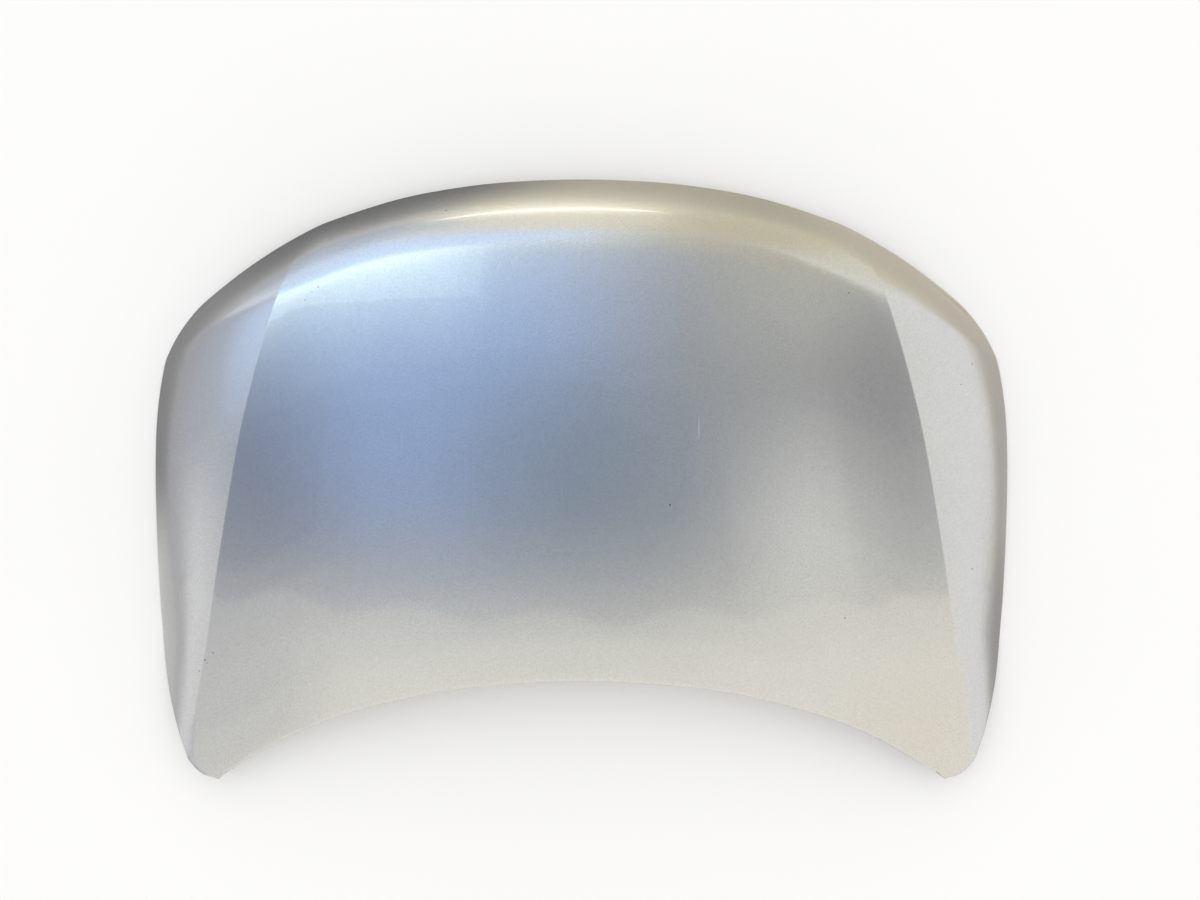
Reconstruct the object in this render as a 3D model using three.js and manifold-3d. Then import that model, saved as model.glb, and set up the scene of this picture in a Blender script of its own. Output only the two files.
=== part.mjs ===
import * as THREE from 'three';
import { mergeVertices } from 'three/addons/utils/BufferGeometryUtils.js';
import Module from 'manifold-3d';

// Car bonnet, lying skin up as it rests on its two front corners and two rear tips.
// It is a creased outer skin, hemmed round the edge of a pressed inner frame.
// The panel is drawn with x across, y forward, z up and z = 0 at the top of its crown.

// Outline of the right half, in plan
const NOSE_Y = 462;
const REAR_Y = -369;
const HALF_WIDTH = 730.5;
const WIDEST_Y = 58;
const LAMP_CORNER_X = 453;
const LAMP_CORNER_Y = 385;
const REAR_TIP_X = 652;
const REAR_TIP_Y = -511;
const TIP_END_X = 599;
const TIP_END_Y = -543.5;
const TIP_BULGE = 12;
const KINK_X = 695;
const KINK_Y = -396;
const NOSE_ANGLE = THREE.MathUtils.degToRad(19.5);
const LAMP_ANGLE = THREE.MathUtils.degToRad(29.5);
const REAR_END_ANGLE = THREE.MathUtils.degToRad(38.5);
const CREASE_POINTS = [[629, -362], [595.5, -163], [559, 32], [516, 199]];
// How far each end of an edge's curve keeps its direction
const NOSE_APEX_PULL = 282;
const NOSE_CORNER_PULL = 59;
const LAMP_CORNER_PULL = 181;
const LAMP_SIDE_PULL = 184;
const SIDE_FRONT_PULL = 88;
const SIDE_REAR_PULL = 72;
const SIDE_REAR_ANGLE = THREE.MathUtils.degToRad(70.5);
const REAR_APEX_PULL = 189;
const REAR_TIP_PULL = 224;

// Height of the outer face
const CROWN_RADIUS = 3600;
const LENGTH_RADIUS = 4000;
const CREST_Y = -60;
const FLANK_SLOPE = 0.13;
const FLANK_RADIUS = 900;
const CREASE_RADIUS = 6;
const CREASE_FADE = 110;
const NOSE_ROLL = 160;
const NOSE_EDGE_SLOPE = 1.65;
const SIDE_ROLL = 90;
const SIDE_EDGE_SLOPE = 1.1;
const ROLL_POWER = 2.4;
const ROLL_CHANGE_REAR_Y = 120;
const ROLL_CHANGE_LENGTH = 300;
const LEAST_FLANK_SHARE = 0.01;

// Sheet metal
const SKIN = 0.8;
const FRAME_SHEET = 0.7;
const CLEARANCE = 0.3;
const HEM_WIDTH = 10;
const EDGE_BAND = 14;
const BEAM_DEPTH = 28;
const LAND_DEPTH = 5;
const WALL_RUN = 16;
const CENTRE_RIB = 36;
const RIB = 36;
const CREASE_RIB = 29;
const CROSS_RIB = 32;
const REAR_BEAM = 36;
const FRONT_BEAM = 94;
const POCKETS_ACROSS_HALF = 3;
const POCKET_ROWS = 3;
const FRONT_BEAM_CELLS = 3;
const HOLE_MARGIN = 18;
const HOLE_CORNER = 26;
const SLOT_WIDTH = 30;
const SIDE_SLOT_LENGTH = 76;
const FRONT_SLOT_LENGTH = 64;
const CUTTER_HEIGHT = 4 * BEAM_DEPTH;

// Mastic beads
const BEAD_WIDTH = 9;
const BEAD_SHARE = 0.6;
const BEAD_CLEARANCE = 0.4;
const BEAD_STEPS = 3;

// Hinge seats
const BOLT = 8;
const BOLT_HOLE = 9;
const HINGE_BOLT_PITCH = 56;
const HINGE_PLATE_LENGTH = 94;
const HINGE_PLATE_WIDTH = 38;
const HINGE_PLATE_CORNER = 8;
const HINGE_LEAN = 0.4;
const REINFORCEMENT = 2;
const NUT_ACROSS = 14;
const NUT_HEIGHT = 6.5;

// Striker
const STRIKER_BOLT_PITCH = 84;
const STRIKER_PLATE_LENGTH = 116;
const STRIKER_PLATE_WIDTH = 34;
const STRIKER_PLATE = 3;
const STRIKER_PLATE_CORNER = 6;
const STRIKER_SEAT_COLUMNS = [-3, -2, -1, 0, 1, 2, 3];
const STRIKER_WIRE = 8;
const STRIKER_SPAN = 44;
const STRIKER_DROP = 34;
const STRIKER_BEND = 14;
const STRIKER_LEAN = 0.3;
const BOLT_HEAD_ACROSS = 13;
const BOLT_HEAD_HEIGHT = 6;
const BOLT_FLANGE = 17;
const BOLT_FLANGE_HEIGHT = 1.6;
const BOLT_FLANGE_CHAMFER = 0.5;
const BOLT_TIP_CHAMFER = 1;

// Rubber buffers
const BUFFER_HEAD = 22;
const BUFFER_HEIGHT = 12;
const BUFFER_STEM = 9;
const BUFFER_LEAN = 0.9;
const BUFFER_BARB = 12;
const BUFFER_BARB_LENGTH = 5;
const BUFFER_CHAMFER = 3;
const BUFFER_TIP_TAPER = 1;

// Facets of round and curved forms
const EDGE_SAMPLES = 60;
const CREASE_SAMPLES = 120;
const FOLD_STEPS = 3;
const HOLE_SIDES = 12;
const BORE_SIDES = 8;
const HEX_SIDES = 6;
const TURNED_SIDES = 12;
const BUFFER_SIDES = 10;
const CORNER_STEPS = 4;
const HOLE_STEPS = 3;
const LOOP_STEPS = 14;

const wasm = await Module();
wasm.setup();

const paint = { color: 0xa9adb1, roughness: 0.32, metalness: 0.6 };
const primer = { color: 0x9a9da0, roughness: 0.5, metalness: 0.5 };
const zinc = { color: 0xb9b7a8, roughness: 0.4, metalness: 0.9 };
const rubber = { color: 0x1b1b1c, roughness: 0.85, metalness: 0 };
const mastic = { color: 0xd8d3c4, roughness: 0.8, metalness: 0 };

const smooth = (t) => {
  const c = THREE.MathUtils.clamp(t, 0, 1);
  return c * c * (3 - 2 * c);
};

function plan(x, y) {
  return new THREE.Vector2(x, y);
}

function bezier(from, fromPull, toPull, to) {
  return new THREE.CubicBezierCurve(from, fromPull, toPull, to);
}

// Outline curves of the right half
const noseApex = plan(0, NOSE_Y);
const rearApex = plan(0, REAR_Y);
const lampCorner = plan(LAMP_CORNER_X, LAMP_CORNER_Y);
const widest = plan(HALF_WIDTH, WIDEST_Y);
const kink = plan(KINK_X, KINK_Y);
const rearTip = plan(REAR_TIP_X, REAR_TIP_Y);
const tipEnd = plan(TIP_END_X, TIP_END_Y);

// A plan direction at an angle from +x, with a length
function heading(angle, length) {
  return plan(Math.cos(angle) * length, Math.sin(angle) * length);
}

const noseCurve = bezier(
  lampCorner,
  lampCorner.clone().add(heading(Math.PI - NOSE_ANGLE, NOSE_CORNER_PULL)),
  noseApex.clone().add(heading(0, NOSE_APEX_PULL)),
  noseApex);
const lampCurve = bezier(
  widest,
  widest.clone().add(heading(Math.PI / 2, LAMP_SIDE_PULL)),
  lampCorner.clone().add(heading(-LAMP_ANGLE, LAMP_CORNER_PULL)),
  lampCorner);
const sideCurve = bezier(
  kink,
  kink.clone().add(heading(SIDE_REAR_ANGLE, SIDE_REAR_PULL)),
  widest.clone().sub(heading(Math.PI / 2, SIDE_FRONT_PULL)),
  widest);
const rearCurve = bezier(
  rearApex,
  rearApex.clone().add(heading(0, REAR_APEX_PULL)),
  tipEnd.clone().add(heading(Math.PI - REAR_END_ANGLE, REAR_TIP_PULL)),
  tipEnd);
const tipChord = rearTip.clone().sub(tipEnd);
const tipMiddle = tipEnd.clone().lerp(rearTip, 0.5)
  .add(heading(tipChord.angle() - Math.PI / 2, TIP_BULGE));
const creaseCurve = new THREE.SplineCurve([
  rearTip, ...CREASE_POINTS.map(([x, y]) => plan(x, y)), lampCorner,
]);
const flankPath = new THREE.CurvePath();
flankPath.add(sideCurve);
flankPath.add(lampCurve);

// Densely sampled edges, for distances
const sideEdge = [
  rearTip,
  ...sideCurve.getPoints(EDGE_SAMPLES),
  ...lampCurve.getPoints(EDGE_SAMPLES),
  ...noseCurve.getPoints(EDGE_SAMPLES),
];
const rearEdge = [rearTip, tipMiddle, ...rearCurve.getPoints(EDGE_SAMPLES).reverse()];
const creaseLine = creaseCurve.getPoints(CREASE_SAMPLES);

function edgeDistance(edge, x, y) {
  const px = Math.abs(x);
  let best = Infinity;
  for (let k = 1; k < edge.length; k += 1) {
    const a = edge[k - 1];
    const dx = edge[k].x - a.x;
    const dy = edge[k].y - a.y;
    const length2 = dx * dx + dy * dy;
    const t = length2 > 0 ? THREE.MathUtils.clamp(((px - a.x) * dx + (y - a.y) * dy) / length2, 0, 1) : 0;
    best = Math.min(best, Math.hypot(px - a.x - t * dx, y - a.y - t * dy));
  }
  return best;
}

function xAt(line, y) {
  if (y <= line[0].y) return line[0].x;
  for (let k = 1; k < line.length; k += 1) {
    if (y <= line[k].y) {
      const rise = line[k].y - line[k - 1].y;
      const t = rise > 0 ? (y - line[k - 1].y) / rise : 0;
      return THREE.MathUtils.lerp(line[k - 1].x, line[k].x, t);
    }
  }
  return line[line.length - 1].x;
}

// The outer face: a crown, a flank that drops outside each crease and a roll along the side and nose
function height(x, y) {
  const crown = (x * x) / (2 * CROWN_RADIUS) + (y - CREST_Y) ** 2 / (2 * LENGTH_RADIUS);
  const creaseX = xAt(creaseLine, y);
  const past = Math.abs(x) - creaseX;
  const outside = (past + Math.hypot(past, CREASE_RADIUS)) / 2;
  const fade = smooth((LAMP_CORNER_Y - y) / CREASE_FADE);
  const flank = fade * (FLANK_SLOPE * outside + outside ** 2 / (2 * FLANK_RADIUS));
  const nose = smooth((y - ROLL_CHANGE_REAR_Y) / ROLL_CHANGE_LENGTH);
  const flankShare = THREE.MathUtils.clamp((xAt(sideEdge, y) - creaseX) / SIDE_ROLL, LEAST_FLANK_SHARE, 1);
  const roll = (1 - nose) * SIDE_ROLL * flankShare + nose * NOSE_ROLL;
  const slope = (1 - nose) * SIDE_EDGE_SLOPE * flankShare + nose * NOSE_EDGE_SLOPE;
  const inRoll = Math.max(1 - edgeDistance(sideEdge, x, y) / roll, 0);
  return -crown - flank - ((slope * roll) / ROLL_POWER) * inRoll ** ROLL_POWER;
}

const GRADIENT_STEP = 2;

function normalAt(x, y) {
  const dx = (height(x + GRADIENT_STEP, y) - height(x - GRADIENT_STEP, y)) / (2 * GRADIENT_STEP);
  const dy = (height(x, y + GRADIENT_STEP) - height(x, y - GRADIENT_STEP)) / (2 * GRADIENT_STEP);
  return new THREE.Vector3(-dx, -dy, 1).normalize();
}

// Lines of the pressing across the right half, from the centre line to the crease
function acrossLines() {
  const span = xAt(creaseLine, 0);
  const walls = 2 * POCKETS_ACROSS_HALF * WALL_RUN;
  const ribs = CENTRE_RIB / 2 + (POCKETS_ACROSS_HALF - 1) * RIB + CREASE_RIB;
  const pocket = (span - walls - ribs) / POCKETS_ACROSS_HALF;
  const lines = [{ at: 0, pocket: -1 }, { at: CENTRE_RIB / 2, pocket: -1 }];
  let at = CENTRE_RIB / 2;
  for (let k = 0; k < POCKETS_ACROSS_HALF; k += 1) {
    at += WALL_RUN;
    lines.push({ at, pocket: k }, { at: at + pocket / 2, pocket: k }, { at: at + pocket, pocket: k });
    at += pocket + WALL_RUN;
    lines.push({ at, pocket: -1 });
    if (k < POCKETS_ACROSS_HALF - 1) {
      at += RIB;
      lines.push({ at, pocket: -1 });
    }
  }
  lines.push({ at: span, pocket: -1 });
  return lines;
}

// Lines of the pressing from the rear edge band to the nose edge band
function alongLines() {
  const span = NOSE_Y - REAR_Y - 2 * EDGE_BAND;
  const walls = (2 * POCKET_ROWS + 2) * WALL_RUN;
  const ribs = REAR_BEAM + (POCKET_ROWS - 1) * CROSS_RIB + FRONT_BEAM;
  const pocket = (span - walls - ribs) / POCKET_ROWS;
  const lines = [{ at: 0, pocket: -1 }, { at: WALL_RUN, pocket: -1 }];
  let at = WALL_RUN + REAR_BEAM;
  lines.push({ at, pocket: -1 });
  for (let k = 0; k < POCKET_ROWS; k += 1) {
    at += WALL_RUN;
    lines.push({ at, pocket: k }, { at: at + pocket / 2, pocket: k }, { at: at + pocket, pocket: k });
    at += pocket + WALL_RUN;
    lines.push({ at, pocket: -1 });
    if (k < POCKET_ROWS - 1) {
      at += CROSS_RIB;
      lines.push({ at, pocket: -1 });
    }
  }
  for (let k = 1; k <= FRONT_BEAM_CELLS; k += 1) {
    lines.push({ at: at + (k * FRONT_BEAM) / FRONT_BEAM_CELLS, pocket: -1 });
  }
  lines.push({ at: span, pocket: -1 });
  return lines;
}

const across = acrossLines();
const along = alongLines();
const FLANK_CELLS = 3;
const HALF = across.length - 1;
const COLUMNS = 2 * (HALF + FLANK_CELLS);
const ROWS = along.length - 1;
const MIDDLE = HALF + FLANK_CELLS;
const KINK_ROW = pocketLines(along, 0)[1];
const CORNER_SHARE = 0.74;
const CORNER_BLEND = 4;

// Outline stations of the right half: rear edge, side edge and nose edge, as ring nodes
function rearStation(k) {
  if (k === HALF) return rearTip;
  if (k === HALF - 1) return tipMiddle;
  return rearCurve.getPointAt(across[k].at / across[HALF - 2].at);
}

function sideStation(j) {
  if (j <= KINK_ROW) return rearTip.clone().lerp(kink, along[j].at / along[KINK_ROW].at);
  const t = (along[j].at - along[KINK_ROW].at) / (along[ROWS].at - along[KINK_ROW].at);
  return flankPath.getPoint(t * CORNER_SHARE);
}

function noseStation(k) {
  if (k > HALF) {
    const t = (k - HALF) / FLANK_CELLS;
    return flankPath.getPoint(1 - t * (1 - CORNER_SHARE));
  }
  return noseCurve.getPointAt(1 - across[k].at / across[HALF].at);
}

// Ring nodes in turn, seen from above: right from the rear apex, round the nose and back
function ringNodes() {
  const half = [];
  for (let k = 0; k <= HALF; k += 1) half.push({ k, j: 0, at: rearStation(k) });
  for (let j = 1; j < ROWS; j += 1) half.push({ k: MIDDLE, j, at: sideStation(j) });
  for (let k = MIDDLE; k >= 0; k -= 1) half.push({ k, j: ROWS, at: noseStation(k) });
  const right = half.map(({ k, j, at }) => ({ i: MIDDLE + k, j, at }));
  const left = half.slice(1, -1).reverse().map(({ k, j, at }) => (
    { i: MIDDLE - k, j, at: plan(-at.x, at.y) }));
  return [...right, ...left];
}

const ring = ringNodes();
ring.forEach((node, n) => {
  const before = ring[(n + ring.length - 1) % ring.length].at;
  const after = ring[(n + 1) % ring.length].at;
  const d1 = node.at.clone().sub(before).normalize();
  const d2 = after.clone().sub(node.at).normalize();
  const n1 = plan(-d1.y, d1.x);
  const n2 = plan(-d2.y, d2.x);
  node.mitre = n1.clone().add(n2).divideScalar(1 + n1.dot(n2));
  const inward = node.mitre.clone().normalize();
  const probe = node.at.clone().addScaledVector(inward, EDGE_BAND / 2);
  const slope = normalAt(probe.x, probe.y);
  const drop = -(slope.x * inward.x + slope.y * inward.y) / slope.z;
  node.inset = node.at.clone().addScaledVector(node.mitre, EDGE_BAND / Math.hypot(1, drop));
  node.edge = new THREE.Vector3(node.at.x, node.at.y, height(node.at.x, node.at.y));
  node.inner = new THREE.Vector3(node.inset.x, node.inset.y, height(node.inset.x, node.inset.y));
});
// Each station's band lies square to its own normal, so that the layers of the hem stay parallel
ring.forEach((node, n) => {
  const before = ring[(n + ring.length - 1) % ring.length].inner;
  const after = ring[(n + 1) % ring.length].inner;
  const inward = node.inner.clone().sub(node.edge);
  node.normal = after.clone().sub(before).cross(inward).normalize();
});

// Grid of the whole panel inside the edge band, from the inset ring by blending its four sides
const inset = new Map(ring.map((node) => [`${node.i},${node.j}`, node.inset]));
const ringInset = (k, j) => inset.get(`${MIDDLE + k},${j}`);

function creaseNodes() {
  const from = ringInset(HALF, 0);
  const to = ringInset(HALF, ROWS);
  const nodes = [];
  for (let j = 0; j <= ROWS; j += 1) {
    const t = along[j].at / along[ROWS].at;
    const bend = from.clone().sub(rearTip).lerp(to.clone().sub(lampCorner), t);
    nodes.push(creaseCurve.getPointAt(t).add(bend));
  }
  return nodes;
}

function halfGrid() {
  const crease = creaseNodes();
  const grid = [];
  for (let k = 0; k <= MIDDLE; k += 1) grid.push([]);
  const centreRear = ringInset(0, 0);
  const centreNose = ringInset(0, ROWS);
  for (let j = 0; j <= ROWS; j += 1) {
    const v = along[j].at / along[ROWS].at;
    const centre = centreRear.clone().lerp(centreNose, v);
    for (let k = 0; k <= HALF; k += 1) {
      const u = across[k].at / across[HALF].at;
      const rearGap = ringInset(k, 0).clone().sub(centreRear.clone().lerp(ringInset(HALF, 0), u));
      const noseGap = ringInset(k, ROWS).clone().sub(centreNose.clone().lerp(ringInset(HALF, ROWS), u));
      grid[k][j] = centre.clone().lerp(crease[j], u)
        .addScaledVector(rearGap, 1 - v)
        .addScaledVector(noseGap, v);
    }
    const side = j === 0 ? ringInset(HALF, 0) : ringInset(MIDDLE, j);
    const width = side.distanceTo(crease[j]);
    const foot = 1 - Math.min(WALL_RUN / Math.max(width, 1), 0.5);
    for (let c = 1; c <= FLANK_CELLS; c += 1) {
      const straight = c === FLANK_CELLS ? 1 : (foot * c) / (FLANK_CELLS - 1);
      const corner = v ** CORNER_BLEND;
      const share = THREE.MathUtils.lerp(straight, c / FLANK_CELLS, corner);
      const noseGap = ringInset(HALF + c, ROWS).clone()
        .sub(crease[ROWS].clone().lerp(ringInset(MIDDLE, ROWS), share));
      grid[HALF + c][j] = crease[j].clone()
        .lerp(side, share)
        .addScaledVector(noseGap, c === FLANK_CELLS ? 0 : corner);
    }
  }
  for (let k = 0; k <= MIDDLE; k += 1) grid[k][ROWS] = ringInset(k, ROWS).clone();
  return grid;
}

const right = halfGrid();
const nodes = [];
for (let i = 0; i <= COLUMNS; i += 1) {
  nodes.push([]);
  for (let j = 0; j <= ROWS; j += 1) {
    const k = Math.abs(i - MIDDLE);
    const side = Math.sign(i - MIDDLE) || 1;
    const at = right[k][j];
    const onRing = j === 0 || j === ROWS || k === MIDDLE;
    const normal = normalAt(at.x, at.y);
    nodes[i][j] = {
      k,
      j,
      onRing,
      land: k <= HALF && across[k].pocket >= 0 && along[j].pocket >= 0,
      at: new THREE.Vector3(side * at.x, at.y, height(at.x, at.y)),
      normal: new THREE.Vector3(side * normal.x, normal.y, normal.z),
    };
  }
}

ring.forEach((node) => {
  nodes[node.i][node.j].normal = node.normal;
});
// The cells outside the crease shrink to the inset tip at the rear edge
for (let c = 1; c <= FLANK_CELLS; c += 1) {
  [-1, 1].forEach((sign) => {
    nodes[MIDDLE + sign * (HALF + c)][0].normal = nodes[MIDDLE + sign * HALF][0].normal;
  });
}

// Depth of the inner frame's upper face under the outer face
const FLANGE_DEPTH = SKIN + CLEARANCE;

function frameDepth(node) {
  if (node.onRing) return FLANGE_DEPTH;
  if (node.land) return LAND_DEPTH;
  const distance = Math.min(
    edgeDistance(sideEdge, node.at.x, node.at.y), edgeDistance(rearEdge, node.at.x, node.at.y));
  const share = THREE.MathUtils.clamp((distance - EDGE_BAND) / WALL_RUN, 0, 1);
  return THREE.MathUtils.lerp(FLANGE_DEPTH, BEAM_DEPTH, share);
}

function under(node, depth) {
  return node.at.clone().addScaledVector(node.normal, -depth);
}

nodes.flat().forEach((node) => {
  node.depth = frameDepth(node);
  node.frame = under(node, node.depth);
});

// Flat seats pressed into the frame: the nodes of a block of cells are moved on to one plane,
// which keeps the given share of the skin's lean there. A seat's y axis is the block's middle line.
function pressSeat(columns, rows, lean) {
  const block = columns.flatMap((i) => rows.map((j) => nodes[i][j]));
  const [west, east] = [columns[0], columns[columns.length - 1]];
  const middleOf = (j) => nodes[west][j].frame.clone().lerp(nodes[east][j].frame, 0.5);
  const origin = new THREE.Vector3();
  const normal = new THREE.Vector3();
  block.forEach((node) => {
    origin.addScaledVector(node.frame, 1 / block.length);
    normal.add(node.normal);
  });
  normal.set(lean * normal.x, lean * normal.y, normal.z).normalize();
  block.forEach((node) => {
    node.depth = node.at.clone().sub(origin).dot(normal) / node.normal.dot(normal);
    node.frame = under(node, node.depth);
    node.seat = normal;
  });
  const [rear, front] = [middleOf(rows[0]), middleOf(rows[rows.length - 1])];
  const yAxis = front.clone().sub(rear).normalize();
  const xAxis = yAxis.clone().cross(normal);
  return new THREE.Matrix4().makeBasis(xAxis, yAxis, normal).setPosition(rear.lerp(front, 0.5));
}

// Lines of one pocket of the pressing: its first, middle and last
function pocketLines(lines, pocket) {
  return lines.map((line, n) => (line.pocket === pocket ? n : -1)).filter((n) => n >= 0);
}

const rearPocket = pocketLines(along, 0);
const secondPocket = pocketLines(along, Math.min(1, POCKET_ROWS - 1));
const frontPocket = pocketLines(along, POCKET_ROWS - 1);
const HINGE_ROWS = [rearPocket[1], rearPocket[2], rearPocket[2] + 1];
const FRONT_BEAM_ROW = ROWS - FRONT_BEAM_CELLS;
const STRIKER_ROWS = [FRONT_BEAM_ROW - 1, FRONT_BEAM_ROW, FRONT_BEAM_ROW + 1];
const BUFFER_ROWS_FRONT = [frontPocket[1], frontPocket[2]];
const BUFFER_ROWS_REAR = [secondPocket[0], secondPocket[1]];
const sides = [{ name: 'left', sign: -1 }, { name: 'right', sign: 1 }];

function columnsOf(sign, list) {
  return list.map((k) => MIDDLE + sign * k);
}

const hingeSeats = sides.map(({ name, sign }) => (
  { name, seat: pressSeat(columnsOf(sign, [HALF - 1, HALF, HALF + 1]), HINGE_ROWS, HINGE_LEAN) }));
const bufferSeats = sides.flatMap(({ name, sign }) => {
  const columns = columnsOf(sign, [HALF + 1, HALF + 2]);
  return [
    { name: `front_${name}`, seat: pressSeat(columns, BUFFER_ROWS_FRONT, BUFFER_LEAN) },
    { name: `rear_${name}`, seat: pressSeat(columns, BUFFER_ROWS_REAR, BUFFER_LEAN) },
  ];
});
const strikerSeat = pressSeat(STRIKER_SEAT_COLUMNS.map((k) => MIDDLE + k), STRIKER_ROWS, STRIKER_LEAN);

const DIAGONAL_BIAS = 0.01;

// Faces of the grid. Each quad is cut on the diagonal whose ends lie nearest in depth.
function gridFaces(index, up) {
  const faces = [];
  for (let i = 0; i < COLUMNS; i += 1) {
    for (let j = 0; j < ROWS; j += 1) {
      const a = nodes[i][j];
      const b = nodes[i + 1][j];
      const c = nodes[i + 1][j + 1];
      const d = nodes[i][j + 1];
      const [ia, ib, ic, id] = [index(i, j), index(i + 1, j), index(i + 1, j + 1), index(i, j + 1)];
      const bias = i < MIDDLE ? DIAGONAL_BIAS : -DIAGONAL_BIAS;
      const first = Math.abs(a.depth - c.depth) + bias <= Math.abs(b.depth - d.depth);
      const pair = first ? [[ia, ib, ic], [ia, ic, id]] : [[ia, ib, id], [ib, ic, id]];
      pair.forEach(([p, q, r]) => faces.push(up ? [p, q, r] : [p, r, q]));
    }
  }
  return faces;
}

// Vertex list with merged points, and the closed geometry it makes
class Sheet {
  constructor() {
    this.points = [];
    this.faces = [];
  }

  add(point) {
    this.points.push(point);
    return this.points.length - 1;
  }

  // Faces between two loops. All layers of the edge band share one diagonal, so their gaps hold:
  // it runs from the loop nearer the edge to the loop nearer the ring, one station on towards the nose.
  strip(outer, inner, outerIsEdge = true) {
    const count = outer.length;
    for (let n = 0; n < count; n += 1) {
      const m = (n + 1) % count;
      if (outerIsEdge === 2 * n < count) {
        this.faces.push([outer[n], outer[m], inner[m]], [outer[n], inner[m], inner[n]]);
      } else {
        this.faces.push([outer[n], outer[m], inner[n]], [outer[m], inner[m], inner[n]]);
      }
    }
  }

  geometry() {
    const geometry = new THREE.BufferGeometry();
    const positions = this.points.flatMap((p) => [p.x, p.y, p.z]);
    geometry.setAttribute('position', new THREE.Float32BufferAttribute(positions, 3));
    geometry.setIndex(this.faces.flat());
    return clean(geometry);
  }
}

// Merges shared points and drops faces that have shrunk to a line
function clean(geometry) {
  const bare = geometry.clone();
  bare.deleteAttribute('normal');
  bare.deleteAttribute('uv');
  const merged = mergeVertices(bare, 1e-3);
  const index = merged.getIndex().array;
  const kept = [];
  for (let n = 0; n < index.length; n += 3) {
    const [a, b, c] = [index[n], index[n + 1], index[n + 2]];
    if (a !== b && b !== c && c !== a) kept.push(a, b, c);
  }
  merged.setIndex(kept);
  return merged;
}

function solid(geometry) {
  const merged = clean(geometry);
  return new wasm.Manifold(new wasm.Mesh({
    numProp: 3,
    vertProperties: new Float32Array(merged.getAttribute('position').array),
    triVerts: new Uint32Array(merged.getIndex().array),
  }));
}

function fromSolid(body) {
  const mesh = body.getMesh();
  const geometry = new THREE.BufferGeometry();
  geometry.setAttribute('position', new THREE.Float32BufferAttribute(mesh.vertProperties, 3));
  geometry.setIndex(Array.from(mesh.triVerts));
  return geometry;
}

function cut(geometry, tools) {
  return fromSolid(tools.reduce((body, tool) => body.subtract(solid(tool)), solid(geometry)));
}

function join(geometries) {
  return fromSolid(geometries.slice(1).reduce((body, other) => body.add(solid(other)), solid(geometries[0])));
}

// A point of the edge band at a distance in from the edge and a depth under the outer face
function bandPoint(node, distance, depth) {
  const inward = node.inner.clone().sub(node.edge);
  const share = distance / EDGE_BAND;
  return node.edge.clone().addScaledVector(inward, share).addScaledVector(node.normal, -depth);
}

const FOLD_RADIUS = (2 * SKIN + FRAME_SHEET + 2 * CLEARANCE) / 2;

function foldPoint(node, radius, turn) {
  const distance = FOLD_RADIUS - radius * Math.sin(turn);
  return bandPoint(node, distance, FOLD_RADIUS - radius * Math.cos(turn));
}

// Outer skin: the grid, then round the hem's fold and back along its flange
function outerSkin() {
  const sheet = new Sheet();
  const top = nodes.map((column) => column.map((node) => sheet.add(node.at)));
  const bottom = nodes.map((column) => column.map((node) => sheet.add(under(node, SKIN))));
  sheet.faces.push(...gridFaces((i, j) => top[i][j], true));
  sheet.faces.push(...gridFaces((i, j) => bottom[i][j], false));
  const loop = (place) => ring.map((node) => sheet.add(place(node)));
  const outerFold = [];
  for (let n = 0; n <= FOLD_STEPS; n += 1) {
    outerFold.push(loop((node) => foldPoint(node, FOLD_RADIUS, (n * Math.PI) / FOLD_STEPS)));
  }
  const innerFold = [0, Math.PI / 2, Math.PI].map((turn) => (
    loop((node) => foldPoint(node, FOLD_RADIUS - SKIN, turn))));
  const flangeUnder = loop((node) => bandPoint(node, HEM_WIDTH, 2 * FOLD_RADIUS));
  const flangeOver = loop((node) => bandPoint(node, HEM_WIDTH, 2 * FOLD_RADIUS - SKIN));
  sheet.strip(outerFold[0], ring.map((node) => top[node.i][node.j]));
  outerFold.slice(1).forEach((next, n) => sheet.strip(next, outerFold[n]));
  sheet.strip(flangeUnder, outerFold[FOLD_STEPS], false);
  sheet.strip(flangeOver, flangeUnder);
  sheet.strip(innerFold[2], flangeOver);
  sheet.strip(innerFold[1], innerFold[2]);
  sheet.strip(innerFold[0], innerFold[1]);
  sheet.strip(ring.map((node) => bottom[node.i][node.j]), innerFold[0], false);
  return sheet.geometry();
}

// Mean normals of the frame's upper face
function frameNormals() {
  const normals = nodes.map((column) => column.map(() => new THREE.Vector3()));
  const point = (i, j) => nodes[i][j].frame;
  for (let i = 0; i < COLUMNS; i += 1) {
    for (let j = 0; j < ROWS; j += 1) {
      const one = point(i + 1, j + 1).clone().sub(point(i, j));
      const two = point(i, j + 1).clone().sub(point(i + 1, j));
      const face = one.cross(two).normalize();
      [[i, j], [i + 1, j], [i + 1, j + 1], [i, j + 1]].forEach(([p, q]) => normals[p][q].add(face));
    }
  }
  return normals.map((column) => column.map((normal) => normal.normalize()));
}

// A closed outline with rounded corners
function roundedShape(corners, radius) {
  const shape = new THREE.Shape();
  corners.forEach((corner, n) => {
    const before = corners[(n + corners.length - 1) % corners.length];
    const after = corners[(n + 1) % corners.length];
    const start = corner.clone().add(before.clone().sub(corner).setLength(radius));
    const end = corner.clone().add(after.clone().sub(corner).setLength(radius));
    if (n === 0) shape.moveTo(start.x, start.y);
    else shape.lineTo(start.x, start.y);
    shape.quadraticCurveTo(corner.x, corner.y, end.x, end.y);
  });
  shape.closePath();
  return shape;
}

function extrude(shape, depth, segments) {
  return new THREE.ExtrudeGeometry(shape, { depth, bevelEnabled: false, curveSegments: segments });
}

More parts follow.
